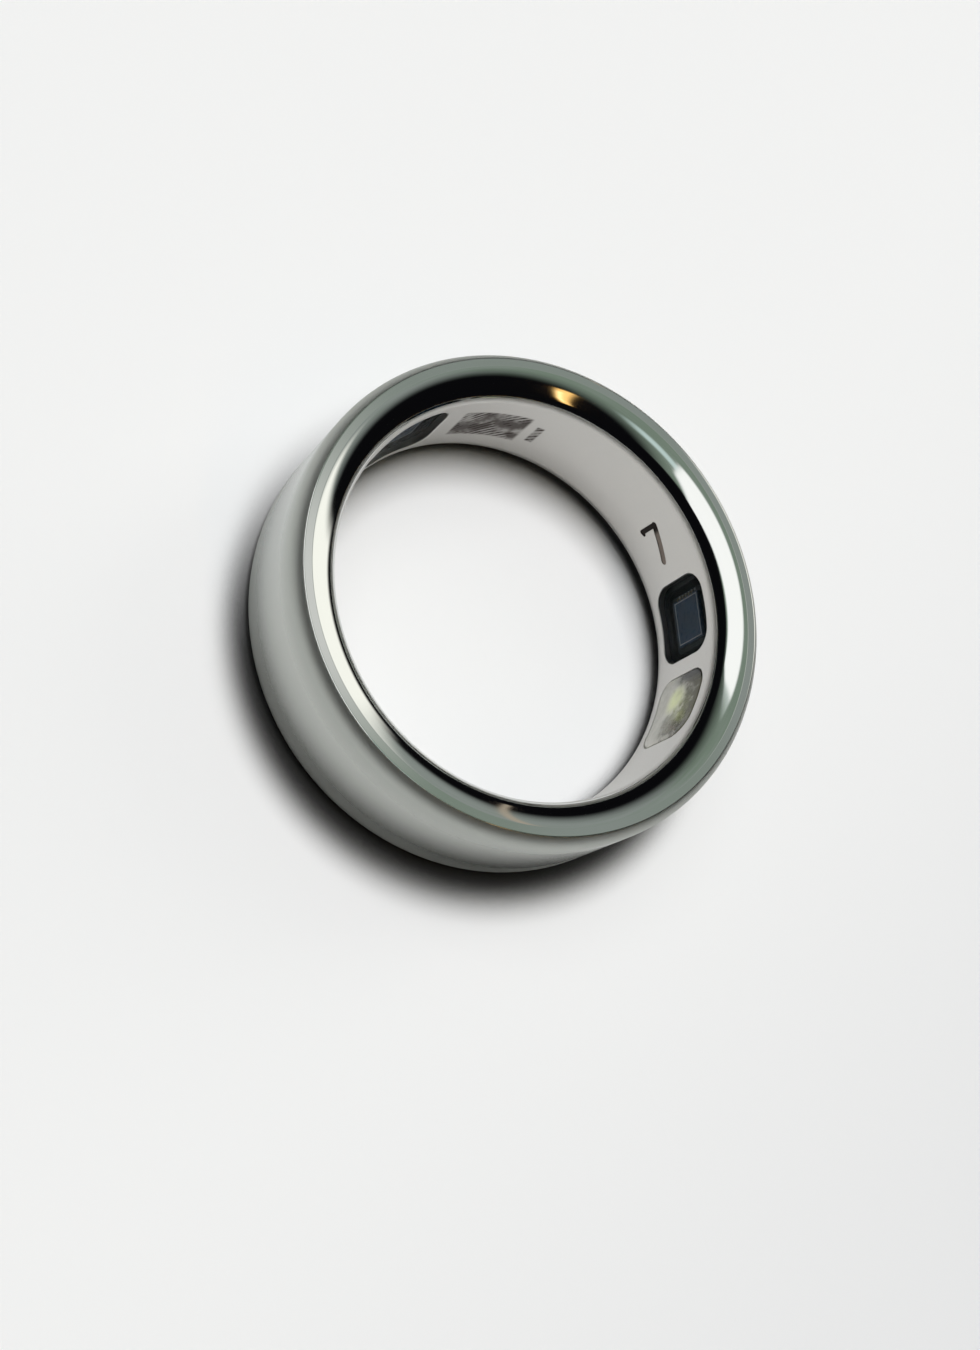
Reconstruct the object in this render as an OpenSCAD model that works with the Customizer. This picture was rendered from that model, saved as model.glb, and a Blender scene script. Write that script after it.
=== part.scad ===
// Smart ring: a metal shell over a windowed liner, with its battery, circuit and sensors between.
// The finger bore runs along Z, the ring's centre is the origin, and the palm side is at -Y.
// Angles are in degrees about Z, counted from +X.

/* [Ring] */
// Inner diameter, which is the finger size
bore_d = 17.35; // [15.7:0.05:22.2]
// Thickness of the ring from the bore to the outer wall
wall_t = 2; // [1.9:0.05:2.6]
// Width of the ring along the finger
ring_w = 6.4; // [6.2:0.1:7.4]

/* [Rim] */
// Radius of the satin shoulder at each edge of the outer wall
shoulder_r = 1; // [0.9:0.05:1.2]
// Angle that the shoulder turns through, from the outer wall
shoulder_turn = 53; // [45:1:60]
// Width of the flat land on each rim, on which the ring rests
land_w = 0.35; // [0.2:0.05:0.45]
// Drop of the polished bevel from the land to the inner rounding
bevel_drop = 0.35; // [0.25:0.01:0.45]
// Radius of the polished rounding that leads into the bore
comfort_r = 0.9; // [0.8:0.01:1]
// Angle that the rounding turns through, from the straight bore
comfort_turn = 56; // [50:1:60]

/* [Shell] */
// Thickness of the outer wall of the shell
shell_t = 0.5; // [0.4:0.05:0.55]
// Thickness of each flange of the shell, from the land to the bay
flange_t = 1.05; // [1:0.01:1.1]
// Depth of the seam between the shell and the liner, below the land
seam_drop = 0.7; // [0.65:0.01:0.9]

/* [Liner] */
// Thickness of the inner liner
liner_t = 0.3; // [0.2:0.01:0.32]
// Width of the sealing bead behind each end of the liner
seal_w = 0.15; // [0.1:0.01:0.25]
// Height of the sealing bead
seal_t = 0.12; // [0.08:0.01:0.15]

/* [Windows] */
// Width of each window around the bore
win_w = 3.5; // [3:0.05:3.6]
// Gap between the lip of a window and the flanges
win_room = 0.15; // [0.1:0.01:0.3]
// Gap around the bore between the lips of the two neighbouring windows
win_pitch_gap = 0.6; // [0.4:0.05:1]
// Corner radius of each window
win_corner_r = 0.9; // [0.5:0.05:1.1]
// Height by which each window's dome stands proud of the bore
dome_h = 0.15; // [0.1:0.01:0.18]
// Depth from the bore to the pocket that each window has over its sensor
win_t = 0.2; // [0.15:0.01:0.25]
// Gap between a window and the edge of its opening
win_gap = 0.03; // [0.02:0.005:0.05]
// Width of the lip that holds a window behind the liner
lip_w = 0.2; // [0.1:0.01:0.22]
// Thickness of that lip
lip_t = 0.15; // [0.1:0.01:0.18]
// Thickness of the light barrier around each sensor
barrier_t = 0.35; // [0.25:0.01:0.4]

/* [Circuit] */
// Gap between each edge of the flexible circuit and the flanges
flex_gap = 0.2; // [0.1:0.01:0.3]
// Thickness of the flexible circuit
flex_t = 0.12; // [0.08:0.01:0.15]
// Thickness of the film that bonds the circuit and the battery to the shell
film_t = 0.07; // [0.05:0.01:0.1]

/* [Sensors] */
// Gap between each sensor carrier and the light barrier around it
carrier_gap = 0.3; // [0.2:0.01:0.4]
// Edge of the carrier that a light detector chip leaves free along the finger
detector_edge = 0.35; // [0.2:0.01:0.5]
// Edge that it leaves free around the ring
detector_side = 0.25; // [0.15:0.01:0.4]
// Thickness of each light detector chip
detector_t = 0.15; // [0.1:0.01:0.2]
// Gap between neighbouring light source chips
emitter_gap = 0.3; // [0.2:0.01:0.4]

/* [Power] */
// Gap between each edge of the battery and the flanges
battery_edge_gap = 0.2; // [0.1:0.01:0.4]
// Gap between each end of the battery and the circuit
battery_end_gap = 0.65; // [0.4:0.05:1]
// Gap between each edge of the charging coil and the flanges
coil_edge_gap = 0.4; // [0.3:0.01:0.6]
// Thickness of the charging coil
coil_t = 0.15; // [0.1:0.01:0.18]

/* [Hidden] */
$fn = 96;
over = 0.4;

// angle covered by a length around the ring, and half the angle covered by a flat block
function arc_of(len, r) = len / r * 180 / PI;
function half_arc(w, x) = atan(w / 2 / x);

// radii of the layers, from the bore outwards
bore_r = bore_d / 2;
outer_r = bore_r + wall_t;
liner_r = bore_r + liner_t;
bay_r = outer_r - shell_t;
lip_r = liner_r + lip_t;
flex_r = bay_r - film_t - flex_t;
cell_r = bay_r - film_t;

// heights of the rim, the seam and the bay, from the middle of the ring
half_w = ring_w / 2;
shoulder_in = shoulder_r * (1 - cos(shoulder_turn));
shoulder_drop = shoulder_r * sin(shoulder_turn);
shoulder_z = half_w - shoulder_drop;
land_out_r = outer_r - shoulder_in;
land_in_r = land_out_r - land_w;
bevel_z = half_w - bevel_drop;
comfort_drop = bevel_drop + comfort_r * sin(comfort_turn);
comfort_z = half_w - comfort_drop;
bevel_in_r = bore_r + comfort_r * (1 - cos(comfort_turn));
seam_z = half_w - seam_drop;
bay_z = half_w - flange_t;

// the dome is a shallow arc that leaves the bore at each edge of the window
win_h = 2 * (bay_z - win_room - lip_w);
dome_r = (pow(win_h / 2, 2) + pow(dome_h, 2)) / (2 * dome_h);
lip_full_w = win_w + 2 * lip_w;
lip_full_h = win_h + 2 * lip_w;
lip_half_arc = asin(lip_full_w / 2 / liner_r);

// sensor chips behind the windows
pocket_r = bore_r + win_t;
sensor_gap = 0.06;
carrier_w = lip_full_w - 2 * (barrier_t + carrier_gap);
carrier_h = lip_full_h - 2 * (barrier_t + carrier_gap);
carrier_corner_r = 0.2;
detector_w = carrier_w - 2 * detector_side;
detector_h = carrier_h - 2 * detector_edge;
detector_face_r = pocket_r + sensor_gap;
detector_back_r = detector_face_r + detector_t;
emitter_t = 0.12;
emitter_face_r = pocket_r + sensor_gap;
emitter_back_r = emitter_face_r + emitter_t;
emitter_pitch = carrier_w / 3;
emitter_w = emitter_pitch - emitter_gap;

// charging coil on the back of the liner
coil_w = 2 * (bay_z - coil_edge_gap);
coil_film_t = 0.03;
coil_track_w = 1;
ferrite_t = 0.1;
coil_in_r = liner_r + coil_film_t;
coil_out_r = coil_in_r + coil_t;
ferrite_r = coil_out_r + ferrite_t;
coil_track_arc = arc_of(coil_track_w, coil_in_r);

// antenna strip along one edge of the circuit, and the room that it leaves for the chips
flex_w = 2 * (bay_z - flex_gap);
antenna_w = 0.3;
antenna_t = 0.05;
antenna_edge = 0.15;
antenna_gap = 0.15;
antenna_z = flex_w / 2 - antenna_edge - antenna_w / 2;
antenna_foot_w = 0.25;
antenna_foot_h = 0.5;
chip_room_h = 2 * (antenna_z - antenna_w / 2 - antenna_gap);
chip_room_t = flex_r - ferrite_r;
chip_gap = 0.15;
gap_arc = arc_of(chip_gap, flex_r);

// chips on the circuit: width around the ring, edge left free along the finger, room over the top
front_end_w = 2.4;
front_end_edge = 0.15;
front_end_room = 0.23;
front_end_h = chip_room_h - 2 * front_end_edge;
front_end_t = chip_room_t - front_end_room;
mcu_w = 2.8;
mcu_edge = 0.05;
mcu_room = 0.18;
mcu_h = chip_room_h - 2 * mcu_edge;
mcu_t = chip_room_t - mcu_room;
crystal_w = 0.9;
crystal_edge = 0.55;
crystal_room = 0.33;
crystal_h = chip_room_h - 2 * crystal_edge;
crystal_t = chip_room_t - crystal_room;
flash_w = 1.6;
flash_edge = 0.35;
flash_room = 0.28;
flash_h = chip_room_h - 2 * flash_edge;
flash_t = chip_room_t - flash_room;
motion_w = 2;
motion_edge = 0.35;
motion_room = 0.25;
motion_h = chip_room_h - 2 * motion_edge;
motion_t = chip_room_t - motion_room;
manager_w = 2.2;
manager_edge = 0.15;
manager_room = 0.23;
manager_h = chip_room_h - 2 * manager_edge;
manager_t = chip_room_t - manager_room;
inductor_w = 1.6;
inductor_edge = 0.35;
inductor_room = 0.2;
inductor_h = chip_room_h - 2 * inductor_edge;
inductor_t = chip_room_t - inductor_room;
inductor_rim = 0.4;
inductor_recess = 0.1;
inductor_core_r = inductor_h / 2 - inductor_rim;

// small parts in rows: sizes and pitch
small_w = 0.5;
small_gap = 0.2;
small_t = 0.35;
small_pitch = chip_room_h / 3;
small_h = small_pitch - small_gap;
resistor_t = 0.2;
row_shares = [-1, 0, 1];
pair_shares = [-0.5, 0.5];

// temperature sensors with their pads
temperature_w = 0.6;
temperature_h = 0.9;
temperature_t = 0.35;
pad_margin = 0.1;

// posts that join the coil to the circuit
lead_w = 0.3;
lead_t = 0.25;
lead_edge = 0.25;
lead_pitch = chip_room_h - 2 * lead_edge;
lead_arc = arc_of(lead_w, flex_r);

// the chips follow each other around the ring, each row from the edge of a window
function place(row, n) = n == 0
    ? gap_arc + half_arc(row[0][0], row[0][1])
    : place(row, n - 1) + half_arc(row[n - 1][0], row[n - 1][1]) + gap_arc + half_arc(row[n][0], row[n][1]);
function row_arc(row) = place(row, len(row) - 1) + half_arc(row[len(row) - 1][0], row[len(row) - 1][1]) + gap_arc;
palm_row = [
    [small_w, flex_r - resistor_t],
    [small_w, flex_r - resistor_t],
    [temperature_w + pad_margin, liner_r],
    [front_end_w, flex_r - front_end_t],
    [small_w, flex_r - small_t]
];
back_row = [
    [antenna_foot_w, flex_r],
    [mcu_w, flex_r - mcu_t],
    [crystal_w, flex_r - crystal_t],
    [lead_w, coil_in_r],
    [flash_w, flex_r - flash_t],
    [motion_w, flex_r - motion_t],
    [manager_w, flex_r - manager_t],
    [inductor_w, flex_r - inductor_t],
    [small_w, flex_r - small_t],
    [temperature_w + pad_margin, liner_r]
];
row_slack = 1;
slack_arc = arc_of(row_slack, flex_r);

// where each window and chip lies around the ring
light_az = -90;
dark_a_az = light_az + 2 * lip_half_arc + arc_of(win_pitch_gap, liner_r);
dark_b_az = light_az - 2 * lip_half_arc - row_arc(palm_row) - slack_arc;
dark_c_az = dark_a_az + 2 * lip_half_arc + row_arc(back_row) + slack_arc;
palm_row_az = light_az - lip_half_arc;
back_row_az = dark_a_az + lip_half_arc;
resistor_az = [palm_row_az - place(palm_row, 0), palm_row_az - place(palm_row, 1)];
front_end_az = palm_row_az - place(palm_row, 3);
mcu_az = back_row_az + place(back_row, 1);
crystal_az = back_row_az + place(back_row, 2);
lead_az = back_row_az + place(back_row, 3);
flash_az = back_row_az + place(back_row, 4);
motion_az = back_row_az + place(back_row, 5);
manager_az = back_row_az + place(back_row, 6);
inductor_az = back_row_az + place(back_row, 7);
capacitor_az = [palm_row_az - place(palm_row, 4), back_row_az + place(back_row, 8)];
temperature_az = [palm_row_az - place(palm_row, 2), back_row_az + place(back_row, 9)];
antenna_az = [back_row_az + gap_arc, temperature_az[1]];
coil_start_az = lead_az + lead_arc / 2;
coil_end_az = capacitor_az[1];

// ends of the circuit, and the battery on the side with no circuit
tab_w = 0.6;
tab_t = 0.1;
tab_edge = 1.05;
tab_seat = 0.6;
tab_pitch = flex_w - 2 * tab_edge;
tab_end_az = dark_b_az - lip_half_arc - gap_arc;
flex_start_az = tab_end_az - arc_of(tab_seat, flex_r);
flex_end_az = dark_c_az + lip_half_arc + gap_arc;
battery_w = 2 * (bay_z - battery_edge_gap);
battery_gap = 0.06;
battery_in_r = liner_r + battery_gap;
terrace_arc = 2;
terrace_t = 0.45;
terrace_gap = 0.1;
terrace_end_az = flex_start_az + 360 - arc_of(terrace_gap, flex_r);
battery_end_az = terrace_end_az - terrace_arc;
battery_start_az = flex_end_az + arc_of(battery_end_gap, flex_r);
film_margin_arc = 2;

// part of a ring between two radii and two angles
module sector(r_in, r_out, h, start_az, end_az) {
    rotate([0, 0, start_az])
        rotate_extrude(angle = end_az - start_az)
            translate([r_in, -h / 2])
                square([r_out - r_in, h]);
}

// places its children at an angle, with X pointing outwards
module at(az) {
    rotate([0, 0, az])
        children();
}

// flat outline with round corners
module round_outline(w, h, r) {
    union() {
        square([w - 2 * r, h], center = true);
        square([w, h - 2 * r], center = true);
        for (sx = [-1, 1])
            for (sy = [-1, 1])
                translate([sx * (w / 2 - r), sy * (h / 2 - r)])
                    circle(r = r);
    }
}

// radial block with round corners between two distances from the axis
module round_block(w, h, r, x_in, x_out) {
    translate([x_in, 0, 0])
        rotate([90, 0, 90])
            linear_extrude(x_out - x_in)
                round_outline(w, h, r);
}

// plain radial block
module block(w, h, x_in, x_out, z = 0) {
    translate([x_in, -w / 2, z - h / 2])
        cube([x_out - x_in, w, h]);
}

// chip that sits on the circuit, with its back shaped to the circuit's curve
module chip(az, w, h, t, z = 0) {
    intersection() {
        at(az)
            block(w, h, flex_r - t, flex_r + over, z);
        cylinder(r = flex_r, h = ring_w, center = true);
    }
}

// the same space, run on through the circuit, to be cut from the resin
module chip_space(az, w, h, t, z = 0) {
    at(az)
        block(w, h, flex_r - t, flex_r + over, z);
}

// cross-section of the whole ring, with its shoulders, lands, bevels and inner roundings
module ring_outline() {
    difference() {
        translate([bore_r, -half_w])
            square([wall_t, ring_w]);
        for (side = [0, 1])
            mirror([0, side]) {
                difference() {
                    translate([land_out_r, shoulder_z])
                        square([shoulder_in + over, shoulder_drop + over]);
                    translate([outer_r - shoulder_r, shoulder_z])
                        circle(r = shoulder_r);
                }
                difference() {
                    translate([bore_r - over, comfort_z])
                        square([bevel_in_r - bore_r + over, comfort_drop + over]);
                    translate([bore_r + comfort_r, comfort_z])
                        circle(r = comfort_r);
                }
                polygon([
                    [bevel_in_r, bevel_z],
                    [land_in_r, half_w],
                    [land_in_r, half_w + over],
                    [bevel_in_r, half_w + over]
                ]);
            }
    }
}

// channel-shaped shell: outer wall, both rims and the flanges that hold the liner
module outer_shell() {
    color([0.60, 0.61, 0.58])
        rotate_extrude()
            difference() {
                ring_outline();
                translate([bore_r - over, -seam_z])
                    square([liner_t + over, 2 * seam_z]);
                translate([bore_r, -bay_z])
                    square([bay_r - bore_r, 2 * bay_z]);
                translate([bore_r, -bay_z - seal_t])
                    square([liner_t + seal_w, 2 * (bay_z + seal_t)]);
            }
}

// sleeve that lines the bore, with an opening for each window
module inner_liner() {
    color([0.66, 0.65, 0.62])
        difference() {
            rotate_extrude()
                intersection() {
                    ring_outline();
                    translate([bore_r - over, -seam_z])
                        square([liner_t + over, 2 * seam_z]);
                }
            for (az = [light_az, dark_a_az, dark_b_az, dark_c_az])
                at(az)
                    round_block(win_w + 2 * win_gap, win_h + 2 * win_gap,
                        win_corner_r + win_gap, bore_r - over - over, liner_r + over);
        }
}

// bead that seals one end of the liner in the shell
module seal(side) {
    color([0.15, 0.15, 0.16])
        mirror([0, 0, side])
            rotate_extrude()
                translate([liner_r, bay_z])
                    square([seal_w, seal_t]);
}

// band with the domed face of a window, all the way round
module dome_band(r_out) {
    rotate_extrude()
        intersection() {
            translate([bore_r - dome_h + dome_r, 0])
                circle(r = dome_r);
            translate([bore_r - dome_h, -win_h])
                square([r_out - bore_r + dome_h, 2 * win_h]);
        }
}

// window with a domed face, a lip behind the liner and a flat pocket over its sensor
module window(az) {
    difference() {
        union() {
            intersection() {
                at(az)
                    round_block(win_w, win_h, win_corner_r, bore_r - over - over, lip_r + over);
                dome_band(lip_r);
            }
            intersection() {
                at(az)
                    round_block(lip_full_w, lip_full_h, win_corner_r + lip_w,
                        bore_r - over, lip_r + over);
                sector(liner_r, lip_r, lip_full_h + over, az - 90, az + 90);
            }
        }
        at(az)
            sensor_room(pocket_r, lip_r + over);
    }
}

// room inside a light barrier, between two distances from the axis
module sensor_room(x_in, x_out) {
    round_block(lip_full_w - 2 * barrier_t, lip_full_h - 2 * barrier_t,
        win_corner_r + lip_w - barrier_t, x_in, x_out);
}

// wall that keeps stray light from a sensor, from the window's lip to the circuit
module barrier(az) {
    color([0.07, 0.07, 0.08])
        difference() {
            intersection() {
                at(az)
                    round_block(lip_full_w, lip_full_h, win_corner_r + lip_w,
                        bore_r - over, flex_r + over);
                sector(lip_r, flex_r, lip_full_h + over, az - 90, az + 90);
            }
            at(az)
                sensor_room(bore_r - over - over, flex_r + over + over);
        }
}

// carrier that lifts a sensor chip from the circuit to its window
module carrier(az, face_r) {
    intersection() {
        at(az)
            round_block(carrier_w, carrier_h, carrier_corner_r, face_r, flex_r + over);
        cylinder(r = flex_r, h = ring_w, center = true);
    }
}

// square light detector chip on its carrier
module detector(az) {
    color([0.10, 0.14, 0.24])
        at(az)
            block(detector_w, detector_h, detector_face_r, detector_back_r);
}

// one light source chip, placed around the ring and along the finger on the carrier
module emitter(across_share, along_share) {
    at(light_az)
        translate([0, across_share * emitter_pitch, along_share * emitter_pitch])
            block(emitter_w, emitter_w, emitter_face_r, emitter_back_r);
}

module light_window() {
    color([0.85, 0.86, 0.80, 0.5])
        window(light_az);
}

module dark_window_a() {
    color([0.05, 0.06, 0.08, 0.8])
        window(dark_a_az);
}

module dark_window_b() {
    color([0.05, 0.06, 0.08, 0.8])
        window(dark_b_az);
}

module dark_window_c() {
    color([0.05, 0.06, 0.08, 0.8])
        window(dark_c_az);
}

module led_carrier() {
    color([0.90, 0.90, 0.86])
        carrier(light_az, emitter_back_r);
}

module green_led() {
    color([0.55, 0.80, 0.20])
        emitter(0, 0);
}

module red_led() {
    color([0.75, 0.25, 0.18])
        emitter(row_shares[0], pair_shares[0]);
}

module infrared_led() {
    color([0.25, 0.20, 0.22])
        emitter(row_shares[0], pair_shares[1]);
}

module detector_carrier_a() {
    color([0.12, 0.13, 0.14])
        carrier(dark_a_az, detector_back_r);
}

module detector_carrier_b() {
    color([0.12, 0.13, 0.14])
        carrier(dark_b_az, detector_back_r);
}

module detector_carrier_c() {
    color([0.12, 0.13, 0.14])
        carrier(dark_c_az, detector_back_r);
}

// curved circuit strip behind all the sensors and chips
module flex_circuit() {
    color([0.16, 0.30, 0.20])
        sector(flex_r, flex_r + flex_t, flex_w, flex_start_az, flex_end_az);
}

module flex_film() {
    color([0.80, 0.76, 0.62])
        sector(flex_r + flex_t, bay_r, flex_w, flex_start_az, flex_end_az);
}

module optical_front_end() {
    color([0.10, 0.10, 0.11])
        chip(front_end_az, front_end_w, front_end_h, front_end_t);
}

module microcontroller() {
    color([0.10, 0.10, 0.11])
        chip(mcu_az, mcu_w, mcu_h, mcu_t);
}

module crystal() {
    color([0.75, 0.75, 0.72])
        chip(crystal_az, crystal_w, crystal_h, crystal_t);
}

module flash_memory() {
    color([0.10, 0.10, 0.11])
        chip(flash_az, flash_w, flash_h, flash_t);
}

module motion_sensor() {
    color([0.13, 0.13, 0.14])
        chip(motion_az, motion_w, motion_h, motion_t);
}

module power_manager() {
    color([0.10, 0.10, 0.11])
        chip(manager_az, manager_w, manager_h, manager_t);
}

// moulded inductor with a shallow round recess in its face
module power_inductor() {
    color([0.30, 0.30, 0.32])
        difference() {
            chip(inductor_az, inductor_w, inductor_h, inductor_t);
            at(inductor_az)
                translate([flex_r - inductor_t - over, 0, 0])
                    rotate([0, 90, 0])
                        cylinder(r = inductor_core_r, h = over + inductor_recess);
        }
}

// two rows of small capacitors
module capacitors() {
    color([0.62, 0.50, 0.36])
        for (az = capacitor_az)
            for (share = row_shares)
                chip(az, small_w, small_h, small_t, share * small_pitch);
}

// two rows of small resistors
module resistors() {
    color([0.12, 0.12, 0.13])
        for (az = resistor_az)
            for (share = pair_shares)
                chip(az, small_w, small_h, resistor_t, share * small_pitch);
}

module temperature_sensor_a() {
    color([0.20, 0.20, 0.22])
        chip(temperature_az[0], temperature_w, temperature_h, temperature_t);
}

module temperature_sensor_b() {
    color([0.20, 0.20, 0.22])
        chip(temperature_az[1], temperature_w, temperature_h, temperature_t);
}

// soft pads that carry the finger's warmth from the liner to each temperature sensor
module thermal_pads() {
    color([0.55, 0.62, 0.70])
        for (az = temperature_az)
            difference() {
                at(az)
                    block(temperature_w + pad_margin, temperature_h + pad_margin,
                        bore_r, flex_r - temperature_t);
                cylinder(r = liner_r, h = ring_w, center = true);
            }
}

// thin radiating strip with a foot at its feed end
module antenna() {
    color([0.80, 0.55, 0.30])
        union() {
            translate([0, 0, antenna_z])
                sector(flex_r - antenna_t, flex_r, antenna_w, antenna_az[0], antenna_az[1]);
            translate([0, 0, antenna_z - antenna_foot_h / 2])
                sector(flex_r - antenna_t, flex_r, antenna_foot_h, antenna_az[0],
                    antenna_az[0] + arc_of(antenna_foot_w, flex_r));
        }
}

// flat coil wound as a rectangle, curved to the liner
module charging_coil() {
    color([0.78, 0.45, 0.25])
        difference() {
            sector(coil_in_r, coil_out_r, coil_w, coil_start_az, coil_end_az);
            sector(coil_in_r - over, coil_out_r + over, coil_w - 2 * coil_track_w,
                coil_start_az + coil_track_arc, coil_end_az - coil_track_arc);
        }
}

module coil_film() {
    color([0.80, 0.76, 0.62])
        sector(liner_r, coil_in_r, coil_w, coil_start_az, coil_end_az);
}

module ferrite_sheet() {
    color([0.22, 0.21, 0.21])
        sector(coil_out_r, ferrite_r, coil_w, coil_start_az, coil_end_az);
}

// two posts that join the coil to the circuit, past the end of the ferrite
module coil_leads() {
    color([0.78, 0.45, 0.25])
        for (share = pair_shares)
            translate([0, 0, share * lead_pitch])
                sector(coil_in_r, flex_r, lead_t, coil_start_az - lead_arc, coil_start_az);
}

// curved battery cell
module battery_cell() {
    color([0.72, 0.73, 0.75])
        sector(battery_in_r, cell_r, battery_w, battery_start_az, battery_end_az);
}

// sealed ledge at the end of the cell, from which its tabs come out
module battery_terrace() {
    color([0.82, 0.83, 0.84])
        sector(cell_r - terrace_t, cell_r, battery_w, battery_end_az, terrace_end_az);
}

// two metal tabs from the ledge onto the circuit
module battery_tabs() {
    color([0.80, 0.78, 0.72])
        for (share = pair_shares)
            translate([0, 0, share * tab_pitch])
                sector(flex_r - tab_t, flex_r, tab_w, terrace_end_az, tab_end_az + 360);
}

module battery_film() {
    color([0.80, 0.76, 0.62])
        sector(cell_r, bay_r, battery_w, battery_start_az + film_margin_arc,
            battery_end_az - film_margin_arc);
}

// resin that fills the circuit's side of the bay around everything in it
module potting_resin() {
    color([0.80, 0.80, 0.74, 0.35])
        difference() {
            sector(liner_r, flex_r, flex_w, tab_end_az, flex_end_az);
            for (az = [light_az, dark_a_az, dark_b_az, dark_c_az])
                at(az)
                    round_block(lip_full_w, lip_full_h, win_corner_r + lip_w,
                        bore_r - over, flex_r + over);
            chip_space(front_end_az, front_end_w, front_end_h, front_end_t);
            chip_space(mcu_az, mcu_w, mcu_h, mcu_t);
            chip_space(crystal_az, crystal_w, crystal_h, crystal_t);
            chip_space(flash_az, flash_w, flash_h, flash_t);
            chip_space(motion_az, motion_w, motion_h, motion_t);
            chip_space(manager_az, manager_w, manager_h, manager_t);
            chip_space(inductor_az, inductor_w, inductor_h, inductor_t);
            for (az = capacitor_az)
                for (share = row_shares)
                    chip_space(az, small_w, small_h, small_t, share * small_pitch);
            for (az = resistor_az)
                for (share = pair_shares)
                    chip_space(az, small_w, small_h, resistor_t, share * small_pitch);
            for (az = temperature_az) {
                chip_space(az, temperature_w, temperature_h, temperature_t);
                at(az)
                    block(temperature_w + pad_margin, temperature_h + pad_margin,
                        bore_r, flex_r - temperature_t);
            }
            translate([0, 0, antenna_z])
                sector(flex_r - antenna_t, flex_r + over, antenna_w, antenna_az[0], antenna_az[1]);
            translate([0, 0, antenna_z - antenna_foot_h / 2])
                sector(flex_r - antenna_t, flex_r + over, antenna_foot_h, antenna_az[0],
                    antenna_az[0] + arc_of(antenna_foot_w, flex_r));
            sector(liner_r - over, ferrite_r, coil_w, coil_start_az, coil_end_az);
            for (share = pair_shares)
                translate([0, 0, share * lead_pitch])
                    sector(coil_in_r, flex_r + over, lead_t, coil_start_az - lead_arc, coil_start_az);
        }
}

outer_shell();
inner_liner();
seal(0);  // upper_seal
seal(1);  // lower_seal
light_window();
dark_window_a();
dark_window_b();
dark_window_c();
barrier(light_az);  // light_barrier_led
barrier(dark_a_az);  // light_barrier_a
barrier(dark_b_az);  // light_barrier_b
barrier(dark_c_az);  // light_barrier_c
led_carrier();
green_led();
red_led();
infrared_led();
detector_carrier_a();
detector_carrier_b();
detector_carrier_c();
detector(dark_a_az);  // detector_a
detector(dark_b_az);  // detector_b
detector(dark_c_az);  // detector_c
flex_circuit();
flex_film();
optical_front_end();
microcontroller();
crystal();
flash_memory();
motion_sensor();
power_manager();
power_inductor();
capacitors();
resistors();
temperature_sensor_a();
temperature_sensor_b();
thermal_pads();
antenna();
charging_coil();
coil_film();
ferrite_sheet();
coil_leads();
battery_cell();
battery_terrace();
battery_tabs();
battery_film();
potting_resin();
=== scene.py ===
"""Looks of the smart ring: metal shell, windowed liner, sensors behind the windows, paper floor, soft studio.

Lengths are in millimetres up to the point where a mesh is made, and angles are in degrees about Z.
"""
import math
from functools import reduce

import bpy
import numpy as np
from mathutils import Matrix, Vector


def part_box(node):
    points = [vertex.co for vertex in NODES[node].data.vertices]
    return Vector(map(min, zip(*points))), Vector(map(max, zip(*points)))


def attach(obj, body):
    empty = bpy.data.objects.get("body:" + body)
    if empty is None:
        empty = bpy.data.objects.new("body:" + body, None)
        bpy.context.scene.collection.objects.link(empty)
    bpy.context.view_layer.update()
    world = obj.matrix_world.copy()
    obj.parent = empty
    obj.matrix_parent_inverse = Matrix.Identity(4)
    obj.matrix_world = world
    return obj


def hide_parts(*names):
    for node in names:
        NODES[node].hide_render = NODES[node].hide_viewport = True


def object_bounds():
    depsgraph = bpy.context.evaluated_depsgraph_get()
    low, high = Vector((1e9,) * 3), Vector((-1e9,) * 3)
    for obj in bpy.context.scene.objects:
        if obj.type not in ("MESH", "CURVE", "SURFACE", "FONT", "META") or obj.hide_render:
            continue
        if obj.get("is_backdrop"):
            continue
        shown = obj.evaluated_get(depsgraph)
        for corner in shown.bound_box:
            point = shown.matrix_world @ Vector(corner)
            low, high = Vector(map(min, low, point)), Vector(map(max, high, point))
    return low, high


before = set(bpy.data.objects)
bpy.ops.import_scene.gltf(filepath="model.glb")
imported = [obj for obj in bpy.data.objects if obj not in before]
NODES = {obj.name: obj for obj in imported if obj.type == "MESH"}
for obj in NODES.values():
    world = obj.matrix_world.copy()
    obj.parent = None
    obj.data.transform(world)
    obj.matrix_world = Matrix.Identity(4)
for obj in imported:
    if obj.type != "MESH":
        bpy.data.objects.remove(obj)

MM = 0.001


def write_size(when, sizes={}):
    low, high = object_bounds()
    sizes[when] = [list(low), list(high)]


write_size("after_load")

# Sizes that come from the frame


def box_mm(node):
    low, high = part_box(node)
    return [v / MM for v in low], [v / MM for v in high]


def azimuth_of(node):
    """Angle about Z at which a small CAD node lies."""
    points = np.array([v.co[:2] for v in NODES[node].data.vertices])
    x, y = points.mean(0)
    return math.degrees(math.atan2(y, x))


OUTER_R, _, HALF_W = box_mm("outer_shell")[1]
LINER_R, _, SEAM_Z = box_mm("inner_liner")[1]
LIP_HALF_H = box_mm("light_window")[1][2]
LIGHT_AZ = azimuth_of("led_carrier")
DARK_AZ = {letter: azimuth_of("detector_" + letter) for letter in "abc"}

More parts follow.
